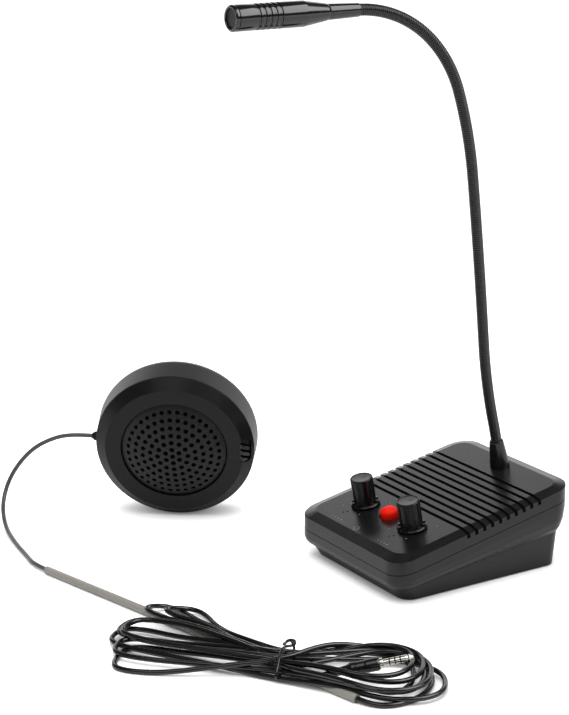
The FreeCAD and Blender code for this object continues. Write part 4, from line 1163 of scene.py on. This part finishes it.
# %% Plug
PLUG_BASE = Vector((0.1205, -0.1189, 0.0112))
PLUG_TURN, PLUG_RISE = math.radians(56), math.radians(13)
plug_ahead = Vector((math.cos(PLUG_TURN) * math.cos(PLUG_RISE), math.sin(PLUG_TURN) * math.cos(PLUG_RISE),
                     math.sin(PLUG_RISE)))
PLUG = frame_at(PLUG_BASE, plug_ahead, (1, -1, 0))
PLUG_TAIL = -26.6
handle = turned("plug_handle", [
    (0, -1.6), (2.9, -1.6), (3.4, -2.6), (3.4, -8), (3.15, -9), (3.15, -13), (3.4, -14), (3.4, -15.6),
    (2.5, -17.6), (2.2, -20), (1.75, PLUG_TAIL), (0, PLUG_TAIL)], PLUG, corner=0.25, steps=48)
finished(handle, "cord_black", "root", "plug_body")
pin = turned("plug_contacts", [(0, -1.6), (2.6, -1.6), (2.6, 0), (1.75, 0), (1.75, 11.6), (1.3, 12.2),
                               (1.72, 13.1), (0.5, 15.0), (0, 15.0)], PLUG, corner=0.12, steps=48)
finished(pin, "plug_metal", "root", "plug_pin")
for i, height in enumerate((2.9, 5.6, 8.3)):
    line = [(1.6, height), (1.78, height), (1.78, height + 0.7), (1.6, height + 0.7), (1.6, height)]
    finished(turned("plug_ring_%d" % (i + 1), line, PLUG, steps=48), "cord_black", "root")

# %% Plug cord
CORD_IN_PLUG = 6
plug_tail = to_hank @ (PLUG_BASE + plug_ahead * (PLUG_TAIL + CORD_IN_PLUG) * MM) / MM
plug_way = (to_hank.to_3x3() @ plug_ahead).normalized()
route = hank_route(sleeve_to, plug_tail, plug_way)
plug_cord = cord_curve("plug_cord", [HANK @ (point * MM) for point in route], CORD_D)
paint(plug_cord, "cord_black")
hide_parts("cord_hank", "cord_stub")
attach(plug_cord, "root")
print("plug cord %.3f m, %d control points" % (cord_length(plug_cord), len(route)))

# %% Twist tie
# Millimetres in the hank's frame: the twisted end's small ring first, then once round the bundle
TIE_ROUTE = [
    (-1.0, 5.0, 11.8), (-0.8, 6.4, 13.0), (1.0, 7.2, 14.0), (3.6, 7.2, 13.9), (4.2, 6.0, 12.6),
    (2.4, 4.8, 11.8),
    (0.2, 2.0, 12.4), (0.4, -3.0, 12.9), (1.4, -9.5, 10.6), (2.2, -15.0, 7.2), (2.5, -17.2, 3.6),
    (2.4, -13.0, 2.2), (2.0, 0.0, 6.0), (1.6, 10.5, 3.0), (1.0, 13.8, 7.5), (0.0, 11.6, 11.6),
    (-0.8, 7.4, 12.8), (-0.6, 2.5, 13.2),
]
tie_points = [HANK @ (Vector(point) * MM) for point in TIE_ROUTE]
tie = cord_curve("twist_tie", tie_points, 1.4)
paint(tie, "cord_black")
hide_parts("hank_tie")
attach(tie, "root")
cord_length(plug_cord)
print("tie %.0f mm long" % (cord_length(tie) / MM))

# %% [markdown]
# ## Stage and light
# The set stands on a white table in front of a white sweep. What the camera and the mirror-like
# reflections see is told apart from what lights the scene, through the Light Path node. So the table
# and the sweep are white while the lamps stay at a plain level, and black stays black. The table still
# takes the shadows, because part of its white is real light. An ambient occlusion node also darkens its
# glow in the narrow gap under a piece, which is a painted contact shadow and shows in reflections too.
# In reflections the room is dim, with the bright sweep only behind the set: that gives the sloped deck
# its sheen and keeps the upright faces dark.

# %% Light path helpers
def rays_that_see(tree):
    """A value of 1 for camera, glossy and transmission rays."""
    path = add_node(tree, "LightPath")
    first = calc(tree, "MAXIMUM", (path, "Is Camera Ray"), (path, "Is Glossy Ray"))
    return calc(tree, "MAXIMUM", first, (path, "Is Transmission Ray"))


def ramp(tree, source, low, high, start, end):
    """A value that climbs smoothly from start to end while the source goes from low to high."""
    made = add_node(tree, "MapRange", {"From Min": low, "From Max": high, "To Min": start, "To Max": end},
                    interpolation_type="SMOOTHSTEP")
    wire(tree, *source, made, "Value")
    return made, "Result"


# %% White table
FLOOR_SIZE = 60.0
SEEN_GLOW, MIRRORED_GLOW, FAR_GLOW = 0.8, 0.15, 0.9
FAR_FROM, FAR_TO = 0.5, 2.0         # metres from the set over which the table goes fully white
# The glow fades there through ambient occlusion, which is a painted contact shadow.
CONTACT = 0.018                     # metres, the gap under a piece in which the glow fades
unselect()
bpy.ops.mesh.primitive_plane_add(size=FLOOR_SIZE)
floor = new_name("floor")
floor_paint, tree, shader = start_material("floor_white")
shader.inputs["Base Color"].default_value = (0.8, 0.8, 0.8, 1)
shader.inputs["Roughness"].default_value = 0.9
shader.inputs["Specular IOR Level"].default_value = 0.0
shader.inputs["Emission Color"].default_value = (1, 1, 1, 1)
place = add_node(tree, "TexCoord")
away = add_node(tree, "VectorMath", operation="LENGTH")
wire(tree, place, "Object", away, 0)
path = add_node(tree, "LightPath")
near = add_node(tree, "MapRange", {"To Min": MIRRORED_GLOW, "To Max": SEEN_GLOW})
wire(tree, path, "Is Camera Ray", near, "Value")
far = ramp(tree, (away, "Value"), FAR_FROM, FAR_TO, 0.0, FAR_GLOW)
# Painted contact shadow: ambient occlusion darkens the table's glow close under each piece.
painted_contact_shadow = add_node(tree, "AmbientOcclusion", {"Distance": CONTACT})
shaded = calc(tree, "MULTIPLY", calc(tree, "MAXIMUM", (near, "Result"), far), (painted_contact_shadow, "AO"))
wire(tree, *calc(tree, "MULTIPLY", rays_that_see(tree), shaded), shader, "Emission Strength")
floor.data.materials.append(floor_paint)
print("table %.0f m wide" % FLOOR_SIZE)

# %% World
WORLD_LIGHT, SWEEP_LIGHT, ROOM_LIGHT = 0.35, 1.5, 0.1
SWEEP_WAY = Vector((-0.845, 0.535, 0.0))            # from the set towards the white sweep behind it

world = bpy.data.worlds.new("studio")
bpy.context.scene.world = world
world.use_nodes = True
tree = world.node_tree
tree.nodes.clear()
way = add_node(tree, "TexCoord")
towards = add_node(tree, "VectorMath", {1: SWEEP_WAY}, operation="DOT_PRODUCT")
wire(tree, way, "Generated", towards, 0)
height = add_node(tree, "SeparateXYZ")
wire(tree, way, "Generated", height, "Vector")
behind = ramp(tree, (towards, "Value"), 0.66, 0.84, 0.0, SWEEP_LIGHT - ROOM_LIGHT)
below_edge = ramp(tree, (height, "Z"), 0.5, 0.6, 1.0, 0.0)
mirrored = calc(tree, "ADD", calc(tree, "MULTIPLY", behind, below_edge), ROOM_LIGHT)
path = add_node(tree, "LightPath")
shown = add_node(tree, "Background", {"Color": (1, 1, 1, 1)})
wire(tree, *calc(tree, "MAXIMUM", mirrored, (path, "Is Camera Ray")), shown, "Strength")
light = add_node(tree, "Background", {"Color": (1, 1, 1, 1), "Strength": WORLD_LIGHT})
choice = add_node(tree, "MixShader")
leave = add_node(tree, "OutputWorld")
wire(tree, *rays_that_see(tree), choice, "Fac")
wire(tree, light, "Background", choice, 1)
wire(tree, shown, "Background", choice, 2)
wire(tree, choice, "Shader", leave, "Surface")
print("world:", len(tree.nodes), "nodes, light %.2f" % WORLD_LIGHT)

# %% Lamps
# The key lamp only makes highlights, the fill lamp only lights evenly, and a small one above does both.
def softbox(name, place, aim, width, depth, power):
    """A rectangular area lamp that faces a point."""
    data = bpy.data.lights.new(name, "AREA")
    data.shape = "RECTANGLE"
    data.size = width
    data.size_y = depth
    data.energy = power
    lamp = bpy.data.objects.new(name, data)
    bpy.context.scene.collection.objects.link(lamp)
    lamp.location = place
    lamp.rotation_mode = "QUATERNION"
    lamp.rotation_quaternion = (Vector(aim) - Vector(place)).to_track_quat("-Z", "Y")
    return lamp


middle = (cad_low + cad_high) / 2
key = softbox("key", (0.75, 0.55, 1.2), middle, 1.4, 1.2, 21)
key.visible_diffuse = False
softbox("top", (0.45, -0.75, 1.25), middle, 0.9, 0.9, 4)
fill = softbox("fill", (0.0, -0.2, 1.6), middle, 1.6, 1.6, 24)
fill.visible_glossy = False

# %% [markdown]
# ## Finish
# The last cell sets the view transform.

# %% Finish
bpy.context.scene.view_settings.view_transform = "Standard"
